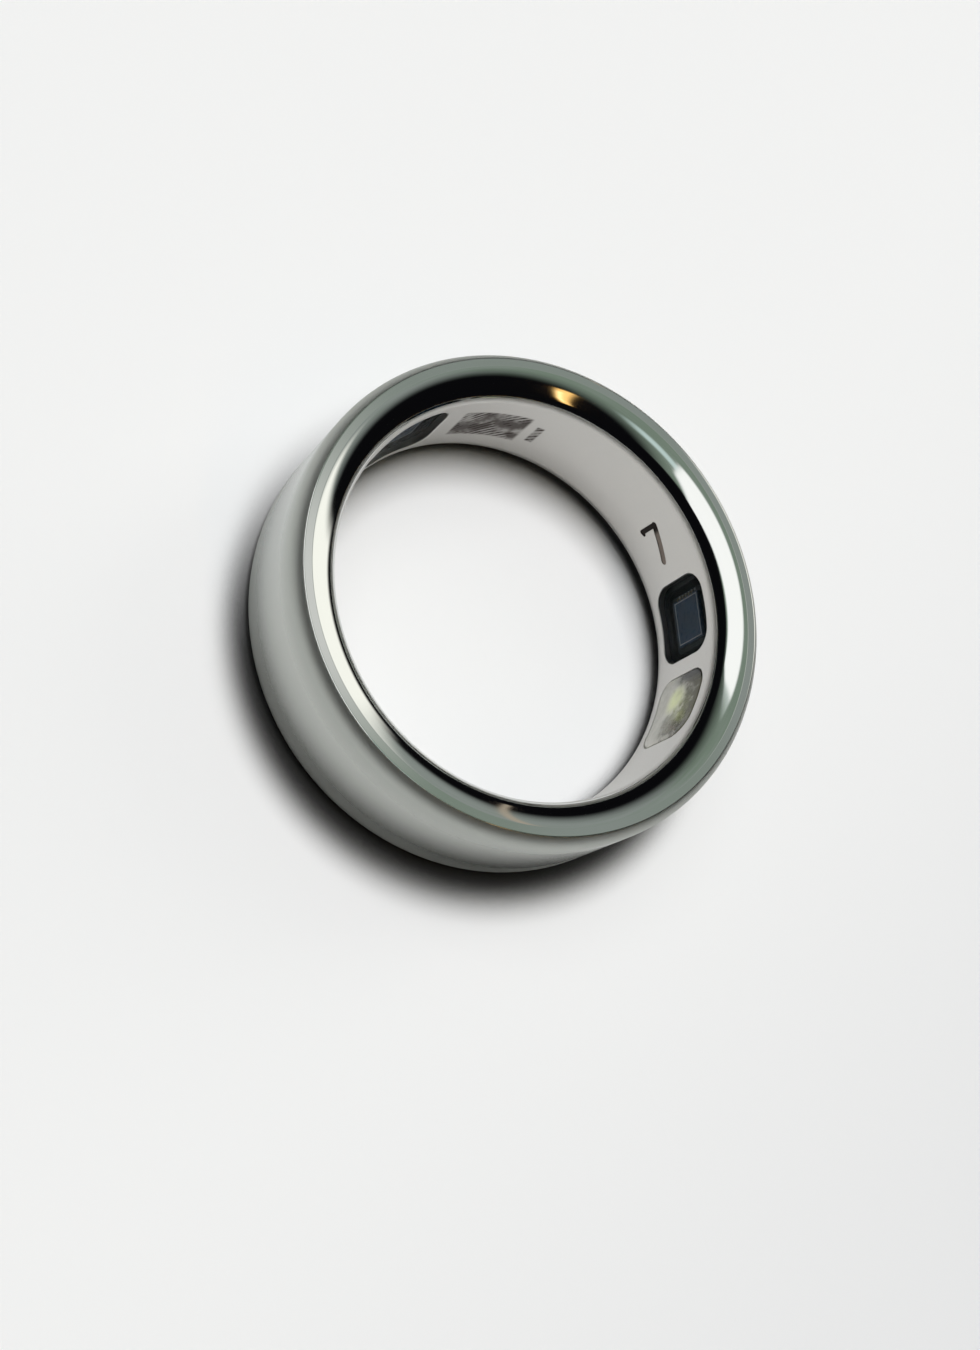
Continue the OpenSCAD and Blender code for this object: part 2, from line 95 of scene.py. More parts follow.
# Sizes of the metal
LINER_T = 0.3
BORE_R = LINER_R - LINER_T
SHELL_T = 0.5
BAY_INSET = 1.05
BAY_Z = HALF_W - BAY_INSET
SEAL_W = 0.15
SEAL_T = 0.12
SHOULDER_R = 1
SHOULDER_TURN = 53
LAND_W = 0.35
BEVEL_DROP = 0.35
BEVEL_BOW = 0.045
COMFORT_R = 0.9
COMFORT_TURN = 56
EDGE_SOFT = 0.035
LAND_EDGE_SOFT = 0.14
SEAM_SOFT = 0.012
HIDDEN_SOFT = 0.02
SMOOTH_TRIM = 0.0005
SEAM_EASE = 0.004
# Height over which the satin finish gets rougher, where the straight wall turns into the shoulder
TURNED_Z = (1.2, 2.7)

SHOULDER_Z = HALF_W - SHOULDER_R * math.sin(math.radians(SHOULDER_TURN))
LAND_OUT_R = OUTER_R - SHOULDER_R * (1 - math.cos(math.radians(SHOULDER_TURN)))
LAND_IN_R = LAND_OUT_R - LAND_W
BEVEL_Z = HALF_W - BEVEL_DROP
BEVEL_IN_R = BORE_R + COMFORT_R * (1 - math.cos(math.radians(COMFORT_TURN)))
COMFORT_Z = BEVEL_Z - COMFORT_R * math.sin(math.radians(COMFORT_TURN))
SEAM_TURN = math.degrees(math.asin((SEAM_Z - COMFORT_Z) / COMFORT_R))
SEAM_R = BORE_R + COMFORT_R * (1 - math.cos(math.radians(SEAM_TURN)))
BAY_R = OUTER_R - SHELL_T

# Sizes of the windows and of what lies behind them
WIN_W = 3.5
WIN_CORNER_R = 0.9
WIN_GAP = 0.03
WIN_EDGE = 0.05
BACK_EDGE = 0.002
LIP_W = 0.2
LIP_T = 0.15
LIP_HALF_W = WIN_W / 2 + LIP_W
WIN_HALF_H = LIP_HALF_H - LIP_W
LIP_R = LINER_R + LIP_T
DOME_H = 0.15
DOME_SHARE = 0.96
WIN_T = 0.2
POCKET_R = BORE_R + WIN_T
BARRIER_T = 0.35
ROOM_HALF_W = LIP_HALF_W - BARRIER_T
ROOM_HALF_H = LIP_HALF_H - BARRIER_T
ROOM_CORNER_R = WIN_CORNER_R + LIP_W - BARRIER_T
CHIP_GAP = 0.06
CHIP_FACE_R = POCKET_R + CHIP_GAP
DIE_HALF_W = 1.05
DIE_HALF_H = 1.0
DIE_T = 0.15
EMITTER_T = 0.12
EMITTER_MARGIN = 0.3
EMITTER_PITCH = 2 * (ROOM_HALF_W - EMITTER_MARGIN) / 3

# Steps of the meshes
RING_STEPS = 720
STEP = 360 / RING_STEPS
PATCH_HALF_STEPS = 27
PATCH_ROWS = 48
PATCH_RINGS = 5
END_STEPS = 8
DOME_RINGS = 14
WINDOW_STEP = 2.5
WINDOW_REACH = 2.5
HALVINGS = 48
SLOPE_STEP = 0.002
BAND_ROWS = np.linspace(-COMFORT_Z, COMFORT_Z, PATCH_ROWS + 1)


# Meshes


def make_mesh(name, points, faces, material_slots, face_slots=None, normals=None, body="root"):
    """Makes a smooth mesh from millimetre points, with its exact vertex normals where they are given."""
    mesh = bpy.data.meshes.new(name)
    mesh.from_pydata((np.asarray(points) * MM).tolist(), [], faces)
    for material in material_slots:
        mesh.materials.append(material)
    if face_slots is not None:
        mesh.polygons.foreach_set("material_index", face_slots)
    mesh.polygons.foreach_set("use_smooth", [True] * len(mesh.polygons))
    mesh.update()
    if normals is not None:
        mesh.normals_split_custom_set_from_vertices(np.asarray(normals).tolist())
    piece = bpy.data.objects.new(name, mesh)
    bpy.context.scene.collection.objects.link(piece)
    if body:
        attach(piece, body)
    return piece


class Outline:
    """Cross-section in the r-z plane, walked with the metal on its left, with a normal at each point."""

    def __init__(self):
        self.runs = []

    def line(self, start, end, slot, steps=1):
        (r0, z0), (r1, z1) = start, end
        length = math.hypot(r1 - r0, z1 - z0)
        tangent = ((r1 - r0) / length, (z1 - z0) / length)
        normal = (tangent[1], -tangent[0])
        shares = [i / steps for i in range(steps + 1)]
        points = [(r0 + (r1 - r0) * s, z0 + (z1 - z0) * s, *normal) for s in shares]
        self.runs.append((points, tangent, tangent, slot))

    def arc(self, centre, radius, start, end, slot, steps):
        """Arc that turns from one angle to another, with the metal inside it."""
        turns = [math.radians(start + (end - start) * i / steps) for i in range(steps + 1)]
        normals = [(math.cos(a), math.sin(a)) for a in turns]
        points = [(centre[0] + radius * nr, centre[1] + radius * nz, nr, nz) for nr, nz in normals]
        tangents = [(-p[3], p[2]) for p in (points[0], points[-1])]
        self.runs.append((points, tangents[0], tangents[1], slot))

    def bow(self, start, end, rise, slot, steps):
        """Shallow arc over a chord, with its middle raised by a small height."""
        (r0, z0), (r1, z1) = start, end
        half = math.hypot(r1 - r0, z1 - z0) / 2
        radius = (half * half + rise * rise) / (2 * rise)
        along = ((r1 - r0) / half / 2, (z1 - z0) / half / 2)
        out = (along[1], -along[0])
        centre = ((r0 + r1) / 2 - out[0] * (radius - rise), (z0 + z1) / 2 - out[1] * (radius - rise))
        first = math.degrees(math.atan2(z0 - centre[1], r0 - centre[0]))
        last = math.degrees(math.atan2(z1 - centre[1], r1 - centre[0]))
        self.arc(centre, radius, first, last, slot, steps)

    def closed(self, softness, steps=4):
        """All points in order with rounded joints, and the finish of the stretch after each."""
        points, slots = [], []
        count = len(self.runs)
        trims = []
        for i, (run, _, leaving, _) in enumerate(self.runs):
            entering = self.runs[(i + 1) % count][1]
            turn = math.acos(max(-1, min(1, leaving[0] * entering[0] + leaving[1] * entering[1])))
            trims.append(softness(run[-1]) * math.tan(turn / 2))
        for i, (run, _, leaving, slot) in enumerate(self.runs):
            following, entering, _, next_slot = self.runs[(i + 1) % count]
            trim, first, corner = trims[i], run[0], run[-1]
            middle = [p for p in run[1:-1] if math.dist(p[:2], first[:2]) > trims[i - 1]
                      and math.dist(p[:2], corner[:2]) > trim]
            points += middle
            slots += [slot] * len(middle)
            if trim < SMOOTH_TRIM:
                points.append(corner)
                slots.append(next_slot)
                continue
            a = (corner[0] - leaving[0] * trim, corner[1] - leaving[1] * trim)
            b = (corner[0] + entering[0] * trim, corner[1] + entering[1] * trim)
            na, nb = corner[2:], following[0][2:]
            for j in range(steps + 1):
                s = j / steps
                curve = [p * (1 - s) ** 2 + q * 2 * s * (1 - s) + t * s * s for p, q, t in zip(a, corner, b)]
                n = [p * (1 - s) + q * s for p, q in zip(na, nb)]
                size = math.hypot(*n)
                points.append((*curve, n[0] / size, n[1] / size))
                slots.append(slot if j < steps / 2 else next_slot)
        return points, slots


def spin(r, z):
    """Points all around the ring from distances to the axis and heights, or directions likewise."""
    turns = np.radians(np.arange(RING_STEPS) * STEP)[:, None]
    return np.stack([np.cos(turns) * r, np.sin(turns) * r, np.ones_like(turns) * z], -1).reshape(-1, 3)


def revolve(name, points, slots, materials):
    """Turns a closed outline about Z."""
    r, z, nr, nz = np.array(points).T
    n = len(r)
    faces = []
    for i in range(RING_STEPS):
        here, there = i * n, (i + 1) % RING_STEPS * n
        faces += [(here + j, there + j, there + (j + 1) % n, here + (j + 1) % n) for j in range(n)]
    return make_mesh(name, spin(r, z), faces, materials, slots * RING_STEPS, spin(nr, nz))


def rounded_loop(half_w, half_h, corner_r, directions):
    """Points where rays from the middle meet a rectangle with round corners."""
    low, high = np.zeros(len(directions)), np.full(len(directions), 2.0)
    inner = np.array([half_w - corner_r, half_h - corner_r])
    for _ in range(HALVINGS):
        middle = (low + high) / 2
        q = np.abs(directions * middle[:, None]) - inner
        outside = np.hypot(*np.maximum(q, 0).T) + np.minimum(q.max(1), 0) > corner_r
        high = np.where(outside, middle, high)
        low = np.where(outside, low, middle)
    return directions * low[:, None]


def loop_normals(loop, half_w, half_h, corner_r):
    """Outward directions in the plane of such a loop."""
    inner = np.array([half_w - corner_r, half_h - corner_r])
    q = np.maximum(np.abs(loop) - inner, 0)
    n = q * np.sign(loop)
    return n / np.maximum(np.linalg.norm(n, axis=1), 1e-9)[:, None]


def place(az, x, y, z):
    """Points given along the direction az, across it and along Z, as points of the ring."""
    a = math.radians(az)
    return np.stack([x * math.cos(a) - y * math.sin(a), x * math.sin(a) + y * math.cos(a), z], -1)


def on_radius(az, loop, radius):
    """Flat points of a loop laid on a cylinder about Z."""
    y, z = loop.T
    return place(az, np.sqrt(radius ** 2 - y ** 2), y, z)


def sideways(az, flat_directions):
    """Directions in the plane of a loop, turned to the loop's place on the ring."""
    return place(az, np.zeros(len(flat_directions)), *flat_directions.T)


def unit(vectors):
    return vectors / np.linalg.norm(vectors, axis=-1, keepdims=True)


def inward(points):
    return unit(-points * np.array([1, 1, 0]))


class Builder:
    """Collects points, normals and faces of one mesh."""

    def __init__(self):
        self.points, self.normals, self.faces, self.count = [], [], [], 0

    def loop(self, points, normals):
        self.points.append(np.asarray(points))
        self.normals.append(np.asarray(normals))
        first = self.count
        self.count += len(points)
        return first

    def skin(self, rings, flip=False):
        """Adds loops of points and normals with quads between them, and gives the first point of each."""
        firsts = [self.loop(points, normals) for points, normals in rings]
        count = len(rings[0][0])
        for a, b in zip(firsts, firsts[1:]):
            for i in range(count):
                j = (i + 1) % count
                quad = (a + i, a + j, b + j, b + i)
                self.faces.append(quad[::-1] if flip else quad)
        return firsts

    def finish(self, name, material):
        return make_mesh(name, np.concatenate(self.points), self.faces, [material],
                         normals=np.concatenate(self.normals))


# Shader helpers


# Scales of the noises, and how they mix
MIDTONES = (0.3, 0.7)
CLOUD_SCALE = 260
CLOUD_SHARE = 0.4
BRUSH_SCALE = 30
BRUSH_TURN = 0.02
BLAST_SCALE = 9000
FINER = 9
ROUGH_DRIFT = 0.15
GLASS_IOR = 1.5


def feed(tree, node, inputs):
    """Gives a node its inputs, by links from sockets or as plain values."""
    for key, value in inputs.items():
        if isinstance(value, bpy.types.NodeSocket):
            tree.links.new(value, node.inputs[key])
        else:
            node.inputs[key].default_value = value


def add_node(tree, kind, inputs=None, **settings):
    new = tree.nodes.new(kind)
    for key, value in settings.items():
        setattr(new, key, value)
    feed(tree, new, inputs or {})
    return new


def calc(tree, operation, *values):
    return add_node(tree, "ShaderNodeMath", dict(enumerate(values)), operation=operation).outputs[0]


def product(tree, *values):
    return reduce(lambda a, b: calc(tree, "MULTIPLY", a, b), values)


def total(tree, *values):
    return reduce(lambda a, b: calc(tree, "ADD", a, b), values)


def hypotenuse(tree, a, b):
    return calc(tree, "SQRT", total(tree, product(tree, a, a), product(tree, b, b)))


def dot(tree, vector, direction):
    inputs = {0: vector, 1: tuple(direction)}
    return add_node(tree, "ShaderNodeVectorMath", inputs, operation="DOT_PRODUCT").outputs["Value"]


def ramp(tree, value, low, high, to_low=0.0, to_high=1.0):
    """Smooth step of a value between two limits."""
    inputs = {"Value": value, "From Min": low, "From Max": high, "To Min": to_low, "To Max": to_high}
    return add_node(tree, "ShaderNodeMapRange", inputs, interpolation_type="SMOOTHSTEP").outputs["Result"]


def blend(tree, share, a, b):
    """Mix of two colours."""
    return add_node(tree, "ShaderNodeMix", {0: share, 6: a, 7: b}, data_type="RGBA").outputs[2]


def mix(tree, share, a, b):
    """Mix of two plain values."""
    return add_node(tree, "ShaderNodeMix", {0: share, 2: a, 3: b}).outputs[0]


def rgb(r, g, b):
    return (r, g, b, 1)


def noise(tree, vector, scale, detail=3.0, roughness=0.5):
    inputs = {"Vector": vector, "Scale": scale, "Detail": detail, "Roughness": roughness}
    return add_node(tree, "ShaderNodeTexNoise", inputs).outputs[0]


def new_material(name):
    material = bpy.data.materials.new(name)
    material.use_nodes = True
    tree = material.node_tree
    shader = tree.nodes["Principled BSDF"]
    coords = add_node(tree, "ShaderNodeTexCoord").outputs["Object"]
    return material, tree, shader, coords


def ring_coords(tree, coords):
    """Distance from the axis, angle about it and height, in millimetres and degrees."""
    x, y, z = add_node(tree, "ShaderNodeSeparateXYZ", {0: coords}).outputs
    angle = calc(tree, "DEGREES", calc(tree, "ARCTAN2", y, x))
    return calc(tree, "DIVIDE", hypotenuse(tree, x, y), MM), angle, calc(tree, "DIVIDE", z, MM)


def bump(tree, height, distance, strength=1.0):
    inputs = {"Height": height, "Distance": distance * MM, "Strength": strength}
    return add_node(tree, "ShaderNodeBump", inputs).outputs[0]


def metal(name, dark, light, low_rough, high_rough, grain=0.0, brushed=True, turned_rough=0.0):
    """Slightly cloudy metal, brushed around the ring or finely blasted, and rougher on its turned edges."""
    material, tree, shader, coords = new_material(name)
    radius, angle, height = ring_coords(tree, coords)
    cloud = noise(tree, coords, CLOUD_SCALE, 2)
    if brushed:
        lines = add_node(tree, "ShaderNodeCombineXYZ", {0: height, 1: radius, 2: product(tree, angle, BRUSH_TURN)})
        fine = noise(tree, lines.outputs[0], BRUSH_SCALE, 3, 0.6)
    else:
        fine = noise(tree, coords, BLAST_SCALE, 2, 0.6)
    mottle = total(tree, product(tree, cloud, CLOUD_SHARE), product(tree, fine, 1 - CLOUD_SHARE))
    rough = ramp(tree, mottle, *MIDTONES, low_rough, high_rough)
    if turned_rough:
        rough = total(tree, rough, ramp(tree, calc(tree, "ABSOLUTE", height), *TURNED_Z, 0, turned_rough))
    feed(tree, shader, {"Base Color": blend(tree, cloud, dark, light), "Roughness": rough, "Metallic": 1})
    if grain:
        feed(tree, shader, {"Normal": bump(tree, fine, grain)})
    return material


def solid(name, dark, light, rough=0.5, scale=1500, grain=0.0, metallic=0.0, coat=0.0, painted_glow=0.0):
    """Plain body material with a two-tone mottle, its own roughness drift, an optional grain and an optional
    painted glow.
    """
    material, tree, shader, coords = new_material(name)
    cloud = noise(tree, coords, scale, 3)
    fine = noise(tree, coords, scale * FINER, 2)
    least, most = rough * (1 - ROUGH_DRIFT), min(1, rough * (1 + ROUGH_DRIFT))
    feed(tree, shader, {
        "Base Color": blend(tree, ramp(tree, cloud, *MIDTONES), dark, light),
        "Roughness": ramp(tree, fine, 0.25, 0.75, least, most),
        "Metallic": metallic,
        "Coat Weight": coat,
    })
    if grain:
        feed(tree, shader, {"Normal": bump(tree, fine, grain)})
    # Painted glow: emission in the body's own colours, for parts that are no lamp
    if painted_glow:
        feed(tree, shader, {"Emission Color": blend(tree, cloud, dark, light), "Emission Strength": painted_glow})
    return material


def glass(name, dark, light, alpha, rough, shine=0.5):
    """Window material that lets what lies behind it show through a tint."""
    material, tree, shader, coords = new_material(name)
    cloud = noise(tree, coords, 900, 2)
    feed(tree, shader, {
        "Base Color": blend(tree, cloud, dark, light),
        "Roughness": ramp(tree, cloud, *MIDTONES, rough * 0.8, rough * 1.2),
        "Alpha": ramp(tree, cloud, 0.2, 0.8, alpha - 0.02, alpha + 0.02),
        "Specular IOR Level": shine,
        "IOR": GLASS_IOR,
    })
    return material


# Cloudiness, painted glow and painted corner shade of the milky window, in millimetres from its middle or from its
# glow
PAINTED_GLOW_REACH = (0.95, 0.1)
DARKENING_SPREAD = 4.0
DARKENING_HEIGHT = (-0.4, 1.5)
SHADE_CORNER_ACROSS = (1.0, 1.55)
SHADE_CORNER_HEIGHT = (-0.9, 0.5)
CLEAR_SPOT = (-0.95, 0.5)
CLEAR_ACROSS = (0.8, 0.3)
CLEAR_HEIGHT = (1.2, 0.6)


def milky_glass(name, az, glow_across, glow_height):
    """Cloudy cream window with a painted glow, a soft yellow-green spot as if lit by the chip behind it; it
    darkens towards its top, and one upper corner has painted shade.
    """
    material, tree, shader, coords = new_material(name)
    _, angle, height = ring_coords(tree, coords)

    def off(value, middle):
        return calc(tree, "SUBTRACT", value, middle)

    across = product(tree, off(angle, az), math.radians(BORE_R))
    away = hypotenuse(tree, off(across, glow_across), off(height, glow_height))
    wisps, fine = (noise(tree, coords, scale, 3, 0.6) for scale in (1400, 2600))
    # Noisy clouds that darken the window's colour towards its top
    darkening = total(tree, height, product(tree, off(fine, 0.5), DARKENING_SPREAD))
    # Painted shade: one upper corner of the window is painted near black
    corner = product(tree, ramp(tree, across, *SHADE_CORNER_ACROSS), ramp(tree, height, *SHADE_CORNER_HEIGHT))
    # Painted glow: a yellow-green spot painted into the base colour and the emission, standing in for light from
    # the chip behind
    painted_glow = product(tree, ramp(tree, away, *PAINTED_GLOW_REACH), ramp(tree, wisps, 0.1, 0.6, 0.6, 1.0))
    clear = product(tree, ramp(tree, calc(tree, "ABSOLUTE", off(across, CLEAR_SPOT[0])), *CLEAR_ACROSS),
                    ramp(tree, calc(tree, "ABSOLUTE", off(height, CLEAR_SPOT[1])), *CLEAR_HEIGHT))
    cream = blend(tree, ramp(tree, wisps, *MIDTONES), rgb(0.68, 0.67, 0.59), rgb(0.84, 0.83, 0.75))
    clouded = blend(tree, ramp(tree, darkening, *DARKENING_HEIGHT), cream, rgb(0.13, 0.125, 0.08))
    shaded = blend(tree, corner, clouded, rgb(0.02, 0.02, 0.016))
    feed(tree, shader, {
        "Base Color": blend(tree, painted_glow, shaded, rgb(0.84, 0.88, 0.56)),
        "Emission Color": blend(tree, painted_glow, rgb(0, 0, 0), rgb(0.17, 0.19, 0.08)),
        "Emission Strength": 1,
        "Alpha": ramp(tree, clear, 0, 1, 0.84, 0.45),
        "Roughness": ramp(tree, wisps, *MIDTONES, 0.12, 0.18),
        "IOR": GLASS_IOR,
    })
    return material


# Marks on the bore, which the liner's material and its engraved mesh share, at angles and heights
MARK_FINE = 5
NUMERAL_DEPTH = 0.03
NUMERAL_SUNK = (0.003, 0.014)
NUMERAL_FLANK = 0.8
NUMERAL_STROKES = (((-31.6, -0.62), (-31.8, 0.40), 0.25), ((-31.6, -0.66), (-32.4, -0.62), 0.22),
                   ((-31.9, 0.40), (-42.4, -0.23), 0.33))
NUMERAL_SHADE_FADE = (-33.2, -35.0)
NUMERAL_BOX = (-45.0, -29.0, -1.1, 0.8)
PATCH_BOX = (17.0, 39.5, -1.25, 1.25)
SMALL_PATCH_BOX = (12.0, 15.0, -0.85, 0.7)
PATCH_SOFT = 0.18
SMALL_PATCH_SOFT = 0.12
HATCH_PITCH = 0.34
HATCH_EDGE = (-0.6, 0.5)
# Spans of the noises that wear the hatch and blotch the patch, and the shares they give
WEAR = (0.36, 0.56, 0.45, 1.0)
BLOTCHES = (0.36, 0.6, 0.3, 0.85)
MARK_ROUGH = 0.3


def liner_material():
    """Blasted warm-grey metal, with the engraved numeral darkened and plain hatched patches etched in."""
    material = metal("liner_metal", rgb(0.55, 0.54, 0.515), rgb(0.60, 0.59, 0.565), 0.34, 0.42, 0.0015,
                     brushed=False)
    tree = material.node_tree
    shader = tree.nodes["Principled BSDF"]
    coords = tree.nodes["Texture Coordinate"].outputs["Object"]
    radius, angle, height = ring_coords(tree, coords)
    across = product(tree, angle, math.radians(BORE_R))

    def in_box(box, soft):
        first, last, low, high = box
        start, end = math.radians(first) * BORE_R, math.radians(last) * BORE_R
        return product(tree, ramp(tree, across, start, start + soft), ramp(tree, across, end, end - soft),
                       ramp(tree, height, low, low + soft), ramp(tree, height, high, high - soft))

    slant = product(tree, total(tree, across, height), 2 * math.pi / HATCH_PITCH)
    hatch = ramp(tree, calc(tree, "SINE", slant), *HATCH_EDGE)
    worn = product(tree, hatch, ramp(tree, noise(tree, coords, 1500, 3), *WEAR))
    blotches = ramp(tree, noise(tree, coords, 1100, 3), *BLOTCHES)
    patches = calc(tree, "MAXIMUM", in_box(PATCH_BOX, PATCH_SOFT), in_box(SMALL_PATCH_BOX, SMALL_PATCH_SOFT))
    bore_side = ramp(tree, radius, BORE_R + LINER_T * 0.6, BORE_R + LINER_T * 0.4)
    flat = ramp(tree, calc(tree, "ABSOLUTE", height), COMFORT_Z, COMFORT_Z - 0.05)
    sunk = ramp(tree, radius, *(BORE_R + depth for depth in NUMERAL_SUNK))
    engraved = product(tree, bore_side, sunk, flat, in_box(NUMERAL_BOX, 0.02))
    etched = product(tree, patches, calc(tree, "MAXIMUM", worn, blotches), bore_side)
    marked = calc(tree, "MAXIMUM", engraved, etched)
    # The numeral's ink goes from near black at its bar to brown along its stem; the near-black end is painted
    # shade over the engraving's brown
    ink = blend(tree, ramp(tree, angle, *NUMERAL_SHADE_FADE), rgb(0.036, 0.030, 0.028), rgb(0.30, 0.255, 0.225))
    ink = blend(tree, engraved, rgb(0.075, 0.060, 0.056), ink)
    plain_colour, plain_rough = (shader.inputs[key].links[0].from_socket for key in ("Base Color", "Roughness"))
    feed(tree, shader, {
        "Base Color": blend(tree, marked, plain_colour, ink),
        "Roughness": total(tree, plain_rough, product(tree, marked, MARK_ROUGH)),
    })
    return material


MATERIALS = {
    "satin": metal("satin_metal", rgb(0.463, 0.482, 0.452), rgb(0.493, 0.512, 0.482), 0.22, 0.27, 0.0004,
                   turned_rough=0.27),
    "polished": metal("polished_metal", rgb(0.61, 0.625, 0.605), rgb(0.63, 0.645, 0.625), 0.05, 0.07),
    "liner": liner_material(),
    "dark_glass": glass("dark_glass", rgb(0.002, 0.005, 0.006), rgb(0.004, 0.008, 0.010), 0.28, 0.05, 0.05),
    "clear_glass": milky_glass("clear_glass", LIGHT_AZ, 0.42, 0.05),
    "seal": solid("seal_rubber", rgb(0.03, 0.03, 0.032), rgb(0.045, 0.045, 0.05), 0.7),
    "barrier": solid("barrier_plastic", rgb(0.005, 0.013, 0.015), rgb(0.009, 0.020, 0.022), 0.6, grain=0.003),
    "pale_barrier": solid("pale_barrier_plastic", rgb(0.42, 0.42, 0.38), rgb(0.5, 0.5, 0.45), 0.55),
    "ceramic": solid("white_ceramic", rgb(0.68, 0.68, 0.60), rgb(0.76, 0.76, 0.68), 0.5, grain=0.002),
    "carrier": solid("carrier_laminate", rgb(0.018, 0.036, 0.036), rgb(0.030, 0.054, 0.052), 0.5),
    "die": solid("light_detector_silicon", rgb(0.020, 0.090, 0.190), rgb(0.030, 0.110, 0.230), 0.3, 700),
    "die_edge": solid("die_edge_metal", rgb(0.70, 0.77, 0.82), rgb(0.80, 0.86, 0.90), 0.35),
    # The green chip gets a painted glow
    "green": solid("green_light_chip", rgb(0.50, 0.62, 0.12), rgb(0.72, 0.78, 0.26), 0.35, 2500, painted_glow=0.35),
    "red": solid("red_light_chip", rgb(0.42, 0.10, 0.06), rgb(0.52, 0.16, 0.09), 0.3, 2500),
    "infrared": solid("infrared_light_chip", rgb(0.03, 0.035, 0.035), rgb(0.06, 0.06, 0.055), 0.25, 2500),
    "gold": solid("gold_pads", rgb(0.60, 0.42, 0.16), rgb(0.72, 0.54, 0.24), 0.3, metallic=1),
    "flex": solid("flex_laminate", rgb(0.03, 0.09, 0.05), rgb(0.045, 0.12, 0.065), 0.4, 700, coat=0.3),
    "film": solid("bonding_film", rgb(0.60, 0.55, 0.38), rgb(0.68, 0.62, 0.44), 0.45),
    "chip": solid("chip_mould", rgb(0.012, 0.012, 0.013), rgb(0.022, 0.022, 0.024), 0.55, grain=0.003),
    "grey_chip": solid("grey_chip_mould", rgb(0.05, 0.05, 0.055), rgb(0.08, 0.08, 0.085), 0.5, grain=0.003),
    "crystal": solid("crystal_can", rgb(0.50, 0.50, 0.47), rgb(0.60, 0.60, 0.57), 0.3, metallic=1),
    "inductor": solid("inductor_ferrite", rgb(0.07, 0.07, 0.08), rgb(0.12, 0.12, 0.13), 0.7, grain=0.004),
    "capacitor": solid("capacitor_ceramic", rgb(0.30, 0.20, 0.12), rgb(0.42, 0.30, 0.19), 0.5, 3500),
    "resistor": solid("resistor_film", rgb(0.015, 0.015, 0.017), rgb(0.03, 0.03, 0.033), 0.35, 3500),
    "pad": solid("thermal_pad_silicone", rgb(0.26, 0.34, 0.44), rgb(0.33, 0.42, 0.52), 0.8, grain=0.004),
    "copper": solid("copper_strip", rgb(0.66, 0.32, 0.16), rgb(0.78, 0.42, 0.24), 0.32, 900, metallic=1),
    "ferrite": solid("ferrite_sheet_grey", rgb(0.03, 0.028, 0.028), rgb(0.05, 0.047, 0.047), 0.65),
    "foil": solid("battery_foil", rgb(0.52, 0.53, 0.55), rgb(0.66, 0.67, 0.69), 0.32, 420, 0.01, metallic=1),
    "nickel": solid("nickel_tabs", rgb(0.58, 0.55, 0.48), rgb(0.68, 0.65, 0.58), 0.3, metallic=1),
    "terrace": solid("terrace_tape", rgb(0.60, 0.52, 0.26), rgb(0.70, 0.62, 0.34), 0.4),
    "resin": glass("potting_resin_clear", rgb(0.50, 0.50, 0.40), rgb(0.58, 0.58, 0.48), 0.4, 0.25),
}

# CAD nodes that are shown as they are, by their finish
SHOWN_NODES = {
    "seal": ["upper_seal", "lower_seal"],
    "pale_barrier": ["light_barrier_led"],
    "barrier": ["light_barrier_a", "light_barrier_b", "light_barrier_c"],
    "ceramic": ["led_carrier"], "green": ["green_led"], "red": ["red_led"], "infrared": ["infrared_led"],
    "carrier": ["detector_carrier_a", "detector_carrier_b", "detector_carrier_c"],
    "die": ["detector_a", "detector_b", "detector_c"],
    "flex": ["flex_circuit"],
    "film": ["flex_film", "coil_film", "battery_film"],
    "chip": ["optical_front_end", "microcontroller", "flash_memory", "power_manager"],
    "grey_chip": ["motion_sensor", "temperature_sensor_a", "temperature_sensor_b"],
    "crystal": ["crystal"], "inductor": ["power_inductor"], "capacitor": ["capacitors"], "resistor": ["resistors"],
    "pad": ["thermal_pads"],
    "copper": ["antenna", "charging_coil", "coil_leads"],
    "ferrite": ["ferrite_sheet"],
    "foil": ["battery_cell"], "terrace": ["battery_terrace"], "nickel": ["battery_tabs"],
    "resin": ["potting_resin"],
}


def finish_nodes():
    for finish, names in SHOWN_NODES.items():
        for name in names:
            materials = NODES[name].data.materials
            materials.clear()
            materials.append(MATERIALS[finish])


# Outer shell


